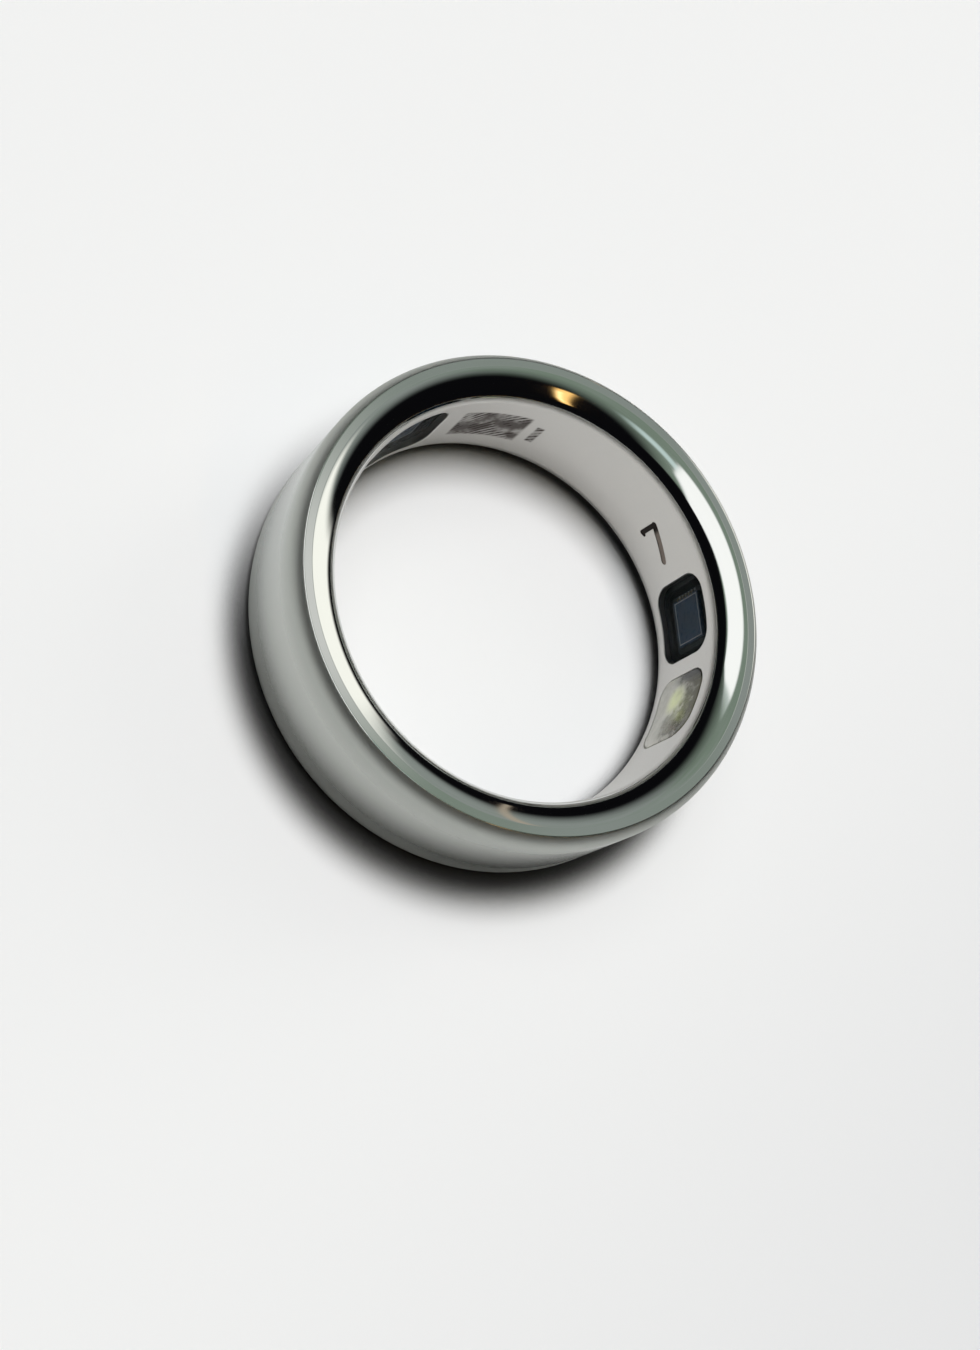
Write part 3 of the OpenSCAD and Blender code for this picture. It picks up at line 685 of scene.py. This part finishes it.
def make_shell():
    """Channel-shaped shell: satin wall and shoulders, polished lands, bevels and inner roundings."""
    satin, polished = 0, 1
    upper = Outline()
    upper.line((OUTER_R, 0), (OUTER_R, SHOULDER_Z), satin, 4)
    upper.arc((OUTER_R - SHOULDER_R, SHOULDER_Z), SHOULDER_R, 0, SHOULDER_TURN, satin, 24)
    upper.line((LAND_OUT_R, HALF_W), (LAND_IN_R, HALF_W), polished, 3)
    upper.bow((LAND_IN_R, HALF_W), (BEVEL_IN_R, BEVEL_Z), BEVEL_BOW, polished, 16)
    upper.arc((BORE_R + COMFORT_R, COMFORT_Z), COMFORT_R, 180 - COMFORT_TURN, 180 - SEAM_TURN, polished, 18)
    hidden = [(SEAM_R, SEAM_Z), (LINER_R, SEAM_Z), (LINER_R, BAY_Z + SEAL_T), (LINER_R + SEAL_W, BAY_Z + SEAL_T),
              (LINER_R + SEAL_W, BAY_Z), (BAY_R, BAY_Z), (BAY_R, 0)]
    for start, end in zip(hidden, hidden[1:]):
        upper.line(start, end, satin)
    runs = list(upper.runs)
    for points, entering, leaving, slot in reversed(runs):
        mirrored = [(r, -z, nr, -nz) for r, z, nr, nz in reversed(points)]
        upper.runs.append((mirrored, (-leaving[0], leaving[1]), (-entering[0], entering[1]), slot))

    def softness(point):
        if abs(point[1]) > HALF_W - EDGE_SOFT:
            return LAND_EDGE_SOFT
        if abs(point[1]) > BEVEL_Z - EDGE_SOFT:
            return EDGE_SOFT
        return SEAM_SOFT if point[0] < LINER_R - EDGE_SOFT else HIDDEN_SOFT

    points, slots = upper.closed(softness)
    shell = revolve("shell", points, slots, [MATERIALS["satin"], MATERIALS["polished"]])
    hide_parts("outer_shell")


# Inner liner


def numeral_depth(az, z):
    """How deep the numeral is cut at each point."""
    across = np.radians(az) * BORE_R
    depth = np.zeros_like(across)
    for (a0, z0), (a1, z1), stroke in NUMERAL_STROKES:
        start = np.array([math.radians(a0) * BORE_R, z0])
        end = np.array([math.radians(a1) * BORE_R, z1])
        along = end - start
        share = np.clip(((across - start[0]) * along[0] + (z - start[1]) * along[1]) / (along @ along), 0, 1)
        distance = np.hypot(across - start[0] - share * along[0], z - start[1] - share * along[1])
        inside = np.clip((stroke / 2 - distance) / (NUMERAL_DEPTH * NUMERAL_FLANK), 0, 1)
        depth = np.maximum(depth, NUMERAL_DEPTH * inside)
    return depth


def liner_ends(build):
    """Rounded ends and end faces that run all the way round, from the bore to the back."""
    def rounded(turn):
        return (BORE_R + COMFORT_R * (1 - math.cos(turn)), COMFORT_Z + COMFORT_R * math.sin(turn),
                -math.cos(turn), math.sin(turn))

    seam = math.radians(SEAM_TURN)
    outline = [rounded(seam * i / END_STEPS) for i in range(END_STEPS)]
    outline += [
        (SEAM_R + SEAM_EASE, SEAM_Z - SEAM_SOFT, -math.cos(seam), math.sin(seam)),
        (SEAM_R + SEAM_SOFT * 0.4, SEAM_Z - SEAM_SOFT * 0.3, -0.7, 0.7),
        (SEAM_R + SEAM_SOFT, SEAM_Z, 0, 1),
        (LINER_R - HIDDEN_SOFT, SEAM_Z, 0, 1),
        (LINER_R, SEAM_Z - HIDDEN_SOFT, 1, 0),
        (LINER_R, COMFORT_Z, 1, 0),
    ]
    for side in (1, -1):
        build.skin([(spin(r, z * side), unit(spin(nr, nz * side))) for r, z, nr, nz in outline], flip=side > 0)


def column(az):
    """Nearest column of the ring mesh to an angle."""
    return round(az / STEP)


def liner_band(build, radius, facing):
    """Straight band of the bore or the back, except where the windows and the numeral go."""
    windows = [LIGHT_AZ, *DARK_AZ.values()]
    taken = {(column(az) + i) % RING_STEPS for az in windows for i in range(-PATCH_HALF_STEPS, PATCH_HALF_STEPS)}
    n = len(BAND_ROWS)
    points = spin(np.full(n, radius), BAND_ROWS)
    first = build.loop(points, -facing * inward(points))
    columns, inside = numeral_span()
    cut = {(i % RING_STEPS, j) for i in columns for j in inside} if facing < 0 else set()
    for i in sorted(set(range(RING_STEPS)) - taken):
        here, there = first + i * n, first + (i + 1) % RING_STEPS * n
        for j in range(n - 1):
            if (i, j) not in cut:
                quad = (here + j, there + j, there + j + 1, here + j + 1)
                build.faces.append(quad if facing > 0 else quad[::-1])
    for az in windows:
        liner_patch(build, az, radius, facing)


def numeral_span():
    """Columns and rows of the mesh that the engraved numeral takes."""
    first, last, low, high = NUMERAL_BOX
    inside = [j for j in range(PATCH_ROWS) if low <= BAND_ROWS[j] and BAND_ROWS[j + 1] <= high]
    return range(column(first), column(last)), inside


def numeral_patch(build):
    """Fine patch of the bore with the numeral cut into it."""
    columns, inside = numeral_span()
    az = np.linspace(columns[0] * STEP, (columns[-1] + 1) * STEP, len(columns) * MARK_FINE + 1)
    z = np.linspace(BAND_ROWS[inside[0]], BAND_ROWS[inside[-1] + 1], len(inside) * MARK_FINE + 1)
    grid_az, grid_z = np.meshgrid(az, z, indexing="ij")
    depth = numeral_depth(grid_az, grid_z)
    cos, sin = np.cos(np.radians(grid_az)), np.sin(np.radians(grid_az))
    points = np.stack([(BORE_R + depth) * cos, (BORE_R + depth) * sin, grid_z], -1)
    slope_az = np.gradient(depth, axis=0) / (np.radians(az[1] - az[0]) * BORE_R)
    slope_z = np.gradient(depth, axis=1) / (z[1] - z[0])
    normals = unit(np.stack([-cos - slope_az * sin, -sin + slope_az * cos, slope_z], -1))
    first = build.loop(points.reshape(-1, 3), normals.reshape(-1, 3))
    n = len(z)
    for i in range(len(az) - 1):
        for j in range(n - 1):
            here, there = first + i * n, first + (i + 1) * n
            build.faces.append((here + j, here + j + 1, there + j + 1, there + j))


def patch_border(az, radius):
    """Border of a window's patch, on the columns and rows of the band, as flat points."""
    turns = [(column(az) + i) * STEP - az for i in range(-PATCH_HALF_STEPS, PATCH_HALF_STEPS + 1)]
    across = [radius * math.sin(math.radians(t)) for t in turns]
    border = [(y, BAND_ROWS[0]) for y in across[:-1]]
    border += [(across[-1], z) for z in BAND_ROWS[:-1]]
    border += [(y, BAND_ROWS[-1]) for y in across[:0:-1]]
    border += [(across[0], z) for z in BAND_ROWS[:0:-1]]
    return np.array(border)


def liner_patch(build, az, radius, facing):
    """Patch of the band around a window's opening, with the opening's wall behind the bore side."""
    def opening(growth):
        return [size + WIN_GAP + growth for size in (WIN_W / 2, WIN_HALF_H, WIN_CORNER_R)]

    border = patch_border(az, radius)
    edge = WIN_EDGE if facing < 0 else BACK_EDGE
    mouth = rounded_loop(*opening(edge), border)
    rings = []
    for i in range(PATCH_RINGS + 1):
        points = on_radius(az, border + (mouth - border) * i / PATCH_RINGS, radius)
        rings.append((points, -facing * inward(points)))
    if facing < 0:
        for share, depth in ((0.3, 0.3), (0.0, 1.0)):
            flat = rounded_loop(*opening(edge * share), border)
            points = on_radius(az, flat, radius + edge * depth)
            walls = sideways(az, -loop_normals(flat, *opening(edge * share)))
            rings.append((points, unit(walls + inward(points) * (1 - depth))))
        rings.append((on_radius(az, flat, LINER_R), walls))
    build.skin(rings, flip=facing < 0)


def make_liner():
    """Sleeve that lines the bore, with its window openings and its engraved numeral."""
    build = Builder()
    liner_band(build, BORE_R, -1)
    liner_band(build, LINER_R, 1)
    liner_ends(build)
    numeral_patch(build)
    liner = build.finish("liner", MATERIALS["liner"])
    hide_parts("inner_liner")


# Windows


def dome_rise(flat):
    """Height of a window's dome over the bore, which dies away at the edges."""
    y, z = np.abs(flat.T)
    along = 1 - np.minimum(z / WIN_HALF_H, 1) ** 2
    across = 1 - np.minimum(y / (WIN_W / 2), 1) ** 3
    return DOME_H * DOME_SHARE * along * across


def dome_points(az, flat):
    y, z = flat.T
    radius = BORE_R - dome_rise(flat)
    return place(az, np.sqrt(radius ** 2 - y ** 2), y, z)


def dome_normals(az, flat):
    """Normals of the dome from its slopes."""
    slide_y, slide_z = np.array([SLOPE_STEP, 0]), np.array([0, SLOPE_STEP])
    across = dome_points(az, flat + slide_y) - dome_points(az, flat - slide_y)
    along = dome_points(az, flat + slide_z) - dome_points(az, flat - slide_z)
    n = np.cross(along, across)
    return unit(n * np.sign((n * inward(dome_points(az, flat))).sum(1))[:, None])


def make_window(name, az, material):
    """Domed window seated in its opening, with the lip behind the liner and the pocket over its sensor."""
    turns = np.radians(np.arange(0, 360, WINDOW_STEP))
    rays = np.stack([np.cos(turns), np.sin(turns)], -1) * WINDOW_REACH
    count = len(rays)
    rim_size = [size - WIN_EDGE for size in (WIN_W / 2, WIN_HALF_H, WIN_CORNER_R)]
    room_size = (ROOM_HALF_W, ROOM_HALF_H, ROOM_CORNER_R)
    rim, room = rounded_loop(*rim_size, rays), rounded_loop(*room_size, rays)
    out = loop_normals(rim, *rim_size)
    sides, walls = sideways(az, out), sideways(az, -loop_normals(room, *room_size))
    body = rim + out * WIN_EDGE
    lip = body + out * LIP_W
    rings = []
    for i in range(1, DOME_RINGS + 1):
        flat = rim * i / DOME_RINGS
        rings.append((dome_points(az, flat), dome_normals(az, flat)))
    for share, depth in ((0.7, 0.3), (1.0, 1.0)):
        points = on_radius(az, rim + out * WIN_EDGE * share, BORE_R + WIN_EDGE * depth)
        rings.append((points, unit(sides + inward(points) * (1 - depth))))
    shelf, ledge = on_radius(az, body, LINER_R), on_radius(az, lip, LINER_R)
    back, mouth = on_radius(az, lip, LIP_R), on_radius(az, room, LIP_R)
    rings += [(shelf, sides), (shelf, inward(shelf)), (ledge, inward(ledge)), (ledge, sides),
              (back, sides), (back, -inward(back)), (mouth, -inward(mouth)), (mouth, walls)]
    outward = place(az, *np.tile([[1.0], [0.0], [0.0]], count))
    ceilings = [place(az, np.full(count, POCKET_R), *(room * share).T) for share in (1, 0.5, 0.01)]
    rings += [(ceilings[0], walls)] + [(ceiling, outward) for ceiling in ceilings]
    build = Builder()
    firsts = build.skin(rings)
    middle = build.loop(dome_points(az, np.zeros((1, 2))), inward(place(az, *np.array([[BORE_R], [0], [0]]))))
    build.faces += [(middle, firsts[0] + (i + 1) % count, firsts[0] + i) for i in range(count)]
    build.faces.append(tuple(firsts[-1] + i for i in range(count)))
    window = build.finish(name, material)
    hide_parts(name.replace("_glass", ""))


# Fine parts behind the windows


def box_points(az, x0, x1, y0, y1, z0, z1):
    corners = [(x, y, z) for x in (x0, x1) for y in (y0, y1) for z in (z0, z1)]
    return place(az, *np.array(corners).T)


BOX_FACES = [(0, 1, 3, 2), (4, 6, 7, 5), (0, 4, 5, 1), (2, 3, 7, 6), (0, 2, 6, 4), (1, 5, 7, 3)]


def small_boxes(name, boxes, material, soft=0.012):
    """Several small blocks with soft edges as one piece."""
    points, faces = [], []
    for entry in boxes:
        base = 8 * (len(faces) // 6)
        points.append(box_points(*entry))
        faces += [tuple(base + i for i in face) for face in BOX_FACES]
    piece = make_mesh(name, np.concatenate(points), faces, [material])
    bevel = piece.modifiers.new("soft_edges", "BEVEL")
    bevel.width = soft * MM
    bevel.segments = 2
    piece.data.polygons.foreach_set("use_smooth", [False] * len(piece.data.polygons))


def wires(name, routes, radius, material):
    """Fine bond wires, each an arched line between two points."""
    curve = bpy.data.curves.new(name, "CURVE")
    curve.dimensions = "3D"
    curve.bevel_depth = radius * MM
    curve.bevel_resolution = 3
    for route in routes:
        spline = curve.splines.new("NURBS")
        spline.points.add(len(route) - 1)
        for point, place_mm in zip(spline.points, route):
            point.co = (*(np.asarray(place_mm) * MM), 1)
        spline.use_endpoint_u = True
        spline.order_u = 3
    curve.materials.append(material)
    piece = bpy.data.objects.new(name, curve)
    bpy.context.scene.collection.objects.link(piece)
    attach(piece, "root")


# Shares of the way and of the rise at the two knots of a bond wire's arch
ARCH = ((0.2, 1), (0.6, 0.6))


def arched(az, start, end, rise):
    """Route of a bond wire from one (x, y, z) to another, lifted towards the bore between them."""
    knots = [(start[0] - rise * lift, start[1] * (1 - way) + end[1] * way, start[2] * (1 - way) + end[2] * way)
             for way, lift in ARCH]
    return [place(az, *np.array(p)) for p in (start, *knots, end)]


def detector_details(letter, az):
    """Light outline, pads and bond wires of one light detector."""
    face = CHIP_FACE_R
    base = face + DIE_T
    rim, line, sink = 0.07, 0.045, 0.004
    wide, high = DIE_HALF_W - rim, DIE_HALF_H - rim
    bars = [(-wide, -wide + line, -high, high), (wide - line, wide, -high, high),
            (-wide, wide, -high, -high + line), (-wide, wide, high - line, high)]
    small_boxes("die_outline_" + letter, [(az, face - sink, face + sink, *bar) for bar in bars],
                MATERIALS["die_edge"], 0.002)
    count, pad, pitch, gap, pad_t = 6, 0.12, 0.26, 0.11, 0.02
    y = DIE_HALF_W + gap + pad / 2
    pads, routes = [], []
    for i in range(count):
        z = (i - (count - 1) / 2) * pitch
        pads.append((az, base - pad_t, base, y - pad / 2, y + pad / 2, z - pad / 2, z + pad / 2))
        routes.append(arched(az, (face, wide, z * 0.9), (base - pad_t, y, z), 0.04))
    small_boxes("bond_pads_" + letter, pads, MATERIALS["die_edge"])
    wires("bond_wires_" + letter, routes, 0.012, MATERIALS["gold"])


# Places of the light chips and of each one's pad on the carrier, in pitches around the ring and along Z
CHIP_PLACES = (((0, 0), (0, 0.85)), ((-1, -0.5), (-1, -1.2)), ((-1, 0.5), (-1, 1.2)))


def emitter_details():
    """Pads, electrodes and bond wires of the three light source chips."""
    face = CHIP_FACE_R
    base = face + EMITTER_T
    pad_t, pad = 0.02, 0.2
    electrode_t, electrode = 0.01, 0.13
    pads, electrodes, routes = [], [], []
    for chip, foot in CHIP_PLACES:
        y, z = (EMITTER_PITCH * share for share in chip)
        pad_y, pad_z = (EMITTER_PITCH * share for share in foot)
        pads.append((LIGHT_AZ, base - pad_t, base, pad_y - pad, pad_y + pad, pad_z - pad / 2, pad_z + pad / 2))
        electrodes.append((LIGHT_AZ, face - electrode_t, face, y - electrode / 2, y + electrode / 2,
                           z - electrode / 2, z + electrode / 2))
        routes.append(arched(LIGHT_AZ, (face - electrode_t, y, z), (base - pad_t, pad_y, pad_z), 0.03))
    small_boxes("light_pads", pads, MATERIALS["gold"])
    small_boxes("light_electrodes", electrodes, MATERIALS["die_edge"], 0.003)
    wires("light_bond_wires", routes, 0.014, MATERIALS["gold"])


# Floor, studio and camera


def direction_of(az, el):
    a, e = math.radians(az), math.radians(el)
    return Vector((math.cos(e) * math.cos(a), math.cos(e) * math.sin(a), math.sin(e)))


KEY_AZ = 18
KEY_EL = 79
KEY_DISTANCE = 2000
KEY_SIZE = 850
KEY_POWER = 28.4
KEY_COLOUR = (0.982, 0.984, 1.0)
FLOOR_SIZE = 1500
FLOOR_COLOUR = (rgb(0.895, 0.895, 0.895), rgb(0.905, 0.905, 0.905))
# Painted shade: the paper's colour greys towards the palm side, standing in for light falling off there
FLOOR_FAR_SHADE_COLOUR = rgb(0.796, 0.797, 0.806)
FLOOR_FAR = 50
FLOOR_FAR_WAY = (-0.35, -0.94)
# Contact shade: its reach, its darkest share, and the openness over which it fades inside and outside the ring
CONTACT_REACH = 2.3
CONTACT_SAMPLES = 12
CONTACT_DARK = 0.06
CONTACT_INSIDE = (0.34, 0.58)
CONTACT_OUTSIDE = (0.6, 1.0)
# Ease of the shade on the lamp's side: cosines of the bearing to the lamp, and the openness or share they give
LIT_OPEN = (-0.85, 0.3, 0.0, 0.11)
LIT_SHARE = (-0.35, 0.8, 1.0, 0.25)


def paper_material():
    """White paper with faint fibres, with painted shade that greys it towards the palm side and a painted contact
    shadow where the ring stands on it.
    """
    material, tree, shader, coords = new_material("paper")
    x, y, _ = add_node(tree, "ShaderNodeSeparateXYZ", {0: coords}).outputs
    radius, _, _ = ring_coords(tree, coords)
    far = total(tree, product(tree, x, FLOOR_FAR_WAY[0] / MM), product(tree, y, FLOOR_FAR_WAY[1] / MM))
    near = blend(tree, noise(tree, coords, 18, 2), *FLOOR_COLOUR)
    paper = blend(tree, ramp(tree, far, 0, FLOOR_FAR), near, FLOOR_FAR_SHADE_COLOUR)
    # Painted contact shadow: ambient occlusion darkens the paper's colour near the ring, narrower and weaker on
    # the lamp's side
    openness = add_node(tree, "ShaderNodeAmbientOcclusion", {"Distance": CONTACT_REACH * MM},
                        samples=CONTACT_SAMPLES).outputs["AO"]
    lit = calc(tree, "DIVIDE", calc(tree, "DIVIDE", dot(tree, coords, direction_of(KEY_AZ, 0)), MM), radius)
    inside = ramp(tree, openness, *CONTACT_INSIDE, CONTACT_DARK, 1.0)
    outside = ramp(tree, total(tree, openness, ramp(tree, lit, *LIT_OPEN)), *CONTACT_OUTSIDE, CONTACT_DARK, 1.0)
    outside = mix(tree, ramp(tree, lit, *LIT_SHARE), 1.0, outside)
    share = mix(tree, ramp(tree, radius, BEVEL_IN_R, LAND_IN_R), inside, outside)
    fibres = noise(tree, coords, 2600, 4, 0.65)
    feed(tree, shader, {
        "Base Color": blend(tree, share, rgb(0, 0, 0), paper),
        "Normal": bump(tree, fibres, 0.012, 0.35),
        "Roughness": 0.9,
        "Specular IOR Level": 0.1,
    })
    return material


def make_floor():
    half = FLOOR_SIZE / 2
    corners = [(x, y, -HALF_W) for x, y in ((-half, -half), (half, -half), (half, half), (-half, half))]
    floor = make_mesh("paper_floor", corners, [(0, 1, 2, 3)], [paper_material()], body=None)
    floor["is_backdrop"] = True


def make_world():
    """Dark room with pale panels and warm lamps for the polished metal to mirror, over a pale ground."""
    world = bpy.data.worlds.new("studio")
    bpy.context.scene.world = world
    world.use_nodes = True
    tree = world.node_tree
    direction = add_node(tree, "ShaderNodeTexCoord").outputs["Generated"]
    x, y, z = add_node(tree, "ShaderNodeSeparateXYZ", {0: direction}).outputs
    level = calc(tree, "MAXIMUM", hypotenuse(tree, x, y), 1e-6)
    elevation = calc(tree, "DEGREES", calc(tree, "ARCSINE", z))
    over_x, over_y = (calc(tree, "DIVIDE", part, calc(tree, "MAXIMUM", z, 0.05)) for part in (x, y))

    def times(*shares):
        return product(tree, *shares)

    def fade(value, low, high):
        return ramp(tree, value, low, high)

    def slab(value, low, high, soft_low, soft_high):
        return times(fade(value, low - soft_low, low + soft_low), fade(value, high + soft_high, high - soft_high))

    def along(az, a=over_x, b=over_y):
        """Distance towards az on a ceiling one unit up."""
        turn = math.radians(az)
        return total(tree, times(a, math.cos(turn)), times(b, math.sin(turn)))

    def angle(cosine):
        return calc(tree, "DEGREES", calc(tree, "ARCCOSINE", cosine))

    def panel(az, half_width, low, high, soft_side, soft_level):
        """Upright panel around a bearing, between two elevations."""
        aside = angle(calc(tree, "DIVIDE", along(az, x, y), level))
        side = fade(aside, half_width + soft_side, half_width - soft_side)
        return times(side, slab(elevation, low, high, soft_level, soft_level))

    def away(vector):
        return angle(dot(tree, direction, vector))

    def spot(az, el, radius, soft):
        return fade(away(direction_of(az, el)), radius + soft, radius - soft)

    def streak(start, end, half_width, soft):
        """Narrow strip between two directions."""
        first, last = direction_of(*start), direction_of(*end)
        half_length = math.degrees(first.angle(last)) / 2
        side = away(first.cross(last).normalized())
        return times(slab(side, 90 - half_width, 90 + half_width, soft, soft),
                     fade(away((first + last).normalized()), half_length + soft, half_length - soft))

    over = add_node(tree, "ShaderNodeCombineXYZ", {0: over_x, 1: over_y}).outputs[0]
    patchy = ramp(tree, noise(tree, over, 9, 2), *MIDTONES, -0.3, 0.3)
    drift = total(tree, fade(along(-45), 0.35, 0.77), patchy)
    strip = blend(tree, drift, rgb(0.255, 0.322, 0.262), rgb(0.351, 0.386, 0.368))
    box = times(slab(along(31), -0.22, 0.80, 0.05, 0.04), slab(along(121), -0.065, 0.55, 0.04, 0.04),
                fade(along(67), -0.064, -0.034), fade(elevation, 20, 25))
    layers = [
        # Green-grey strip across the ceiling
        (times(slab(along(49), -0.31, 0.9, 0.19, 0.42), slab(along(139), -2.6, 0.5, 0.8, 0.06),
               fade(elevation, 8, 16)), strip),
        # Tall card
        (panel(-38.5, 11.5, 10, 47, 3, 4), rgb(1.47, 1.45, 1.36)),
        # Pale box overhead, with a pale tail at its near end and a fade at its far one
        (times(slab(along(-8), -0.20, -0.05, 0.05, 0.05), slab(along(67), -0.23, 0.05, 0.06, 0.05)),
         rgb(0.74, 0.90, 0.88)),
        (times(box, fade(along(2), 0.68, 0.50)), rgb(0.80, 0.88, 0.84)),
        (times(box, fade(along(2), 0.55, 0.51)), rgb(1.47, 1.46, 1.46)),
        # Round panel
        (spot(-19, 63.5, 4.5, 3.5), rgb(0.90, 0.90, 0.88)),
        # Warm lamp with its bright core, and a fainter one
        (streak((-113, 64), (-143, 34), 2.0, 1.2), rgb(1.9, 1.1, 0.36)),
        (streak((-118, 60), (-139, 40), 0.5, 0.9), rgb(2.9, 2.1, 1.0)),
        (streak((-18, 46), (-9.5, 13), 0.5, 0.45), rgb(0.60, 0.50, 0.39)),
        # Ground
        (fade(elevation, -1, -4), rgb(0.88, 0.88, 0.88)),
    ]
    colour = rgb(0.004, 0.004, 0.005)
    for share, value in layers:
        colour = blend(tree, share, colour, value)
    feed(tree, tree.nodes["Background"], {"Color": colour, "Strength": 1})


def make_key_light():
    light = bpy.data.lights.new("key", "AREA")
    light.shape = "DISK"
    light.size = KEY_SIZE * MM
    light.energy = KEY_POWER
    light.color = KEY_COLOUR
    lamp = bpy.data.objects.new("key", light)
    back = direction_of(KEY_AZ, KEY_EL)
    lamp.location = back * KEY_DISTANCE * MM
    lamp.rotation_mode = "QUATERNION"
    lamp.rotation_quaternion = back.to_track_quat("Z", "Y")
    lamp.visible_glossy = False
    bpy.context.scene.collection.objects.link(lamp)


CAMERA_AZ = 149
CAMERA_EL = 60
CAMERA_ROLL = 57.2
CAMERA_DISTANCE = 73.7
CAMERA_LENS = 48
SENSOR = 36
PICTURE = (980, 1350)
FOCAL_PIXELS = CAMERA_LENS / SENSOR * PICTURE[1]
LAND_CENTRE_PIXEL = (542.0, 589.7)


def make_camera():
    """Camera that puts the centre of the upper land on its pixel in the photograph."""
    back = direction_of(CAMERA_AZ, CAMERA_EL)
    right = direction_of(CAMERA_AZ + 90, 0)
    up = back.cross(right)
    roll = math.radians(CAMERA_ROLL)
    across = right * math.cos(roll) + up * math.sin(roll)
    upward = up * math.cos(roll) - right * math.sin(roll)
    shift_x = (LAND_CENTRE_PIXEL[0] - PICTURE[0] / 2) * CAMERA_DISTANCE / FOCAL_PIXELS
    shift_y = (PICTURE[1] / 2 - LAND_CENTRE_PIXEL[1]) * CAMERA_DISTANCE / FOCAL_PIXELS
    eye = Vector((0, 0, HALF_W)) + back * CAMERA_DISTANCE - across * shift_x - upward * shift_y
    data = bpy.data.cameras.new("camera")
    data.lens = CAMERA_LENS
    data.sensor_width = SENSOR
    data.clip_start = 0.001
    data.clip_end = 5
    camera = bpy.data.objects.new("camera", data)
    turned = Matrix((across, upward, back)).transposed().to_4x4()
    camera.matrix_world = Matrix.Translation(eye * MM) @ turned
    bpy.context.scene.collection.objects.link(camera)
    bpy.context.scene.camera = camera


finish_nodes()
make_shell()
make_liner()
make_window("light_window_glass", LIGHT_AZ, MATERIALS["clear_glass"])
for window_letter, window_az in DARK_AZ.items():
    make_window("dark_window_" + window_letter + "_glass", window_az, MATERIALS["dark_glass"])
    detector_details(window_letter, window_az)
emitter_details()
make_floor()
make_world()
make_key_light()
make_camera()
bpy.context.scene.view_settings.view_transform = "Standard"

write_size("before_finish")
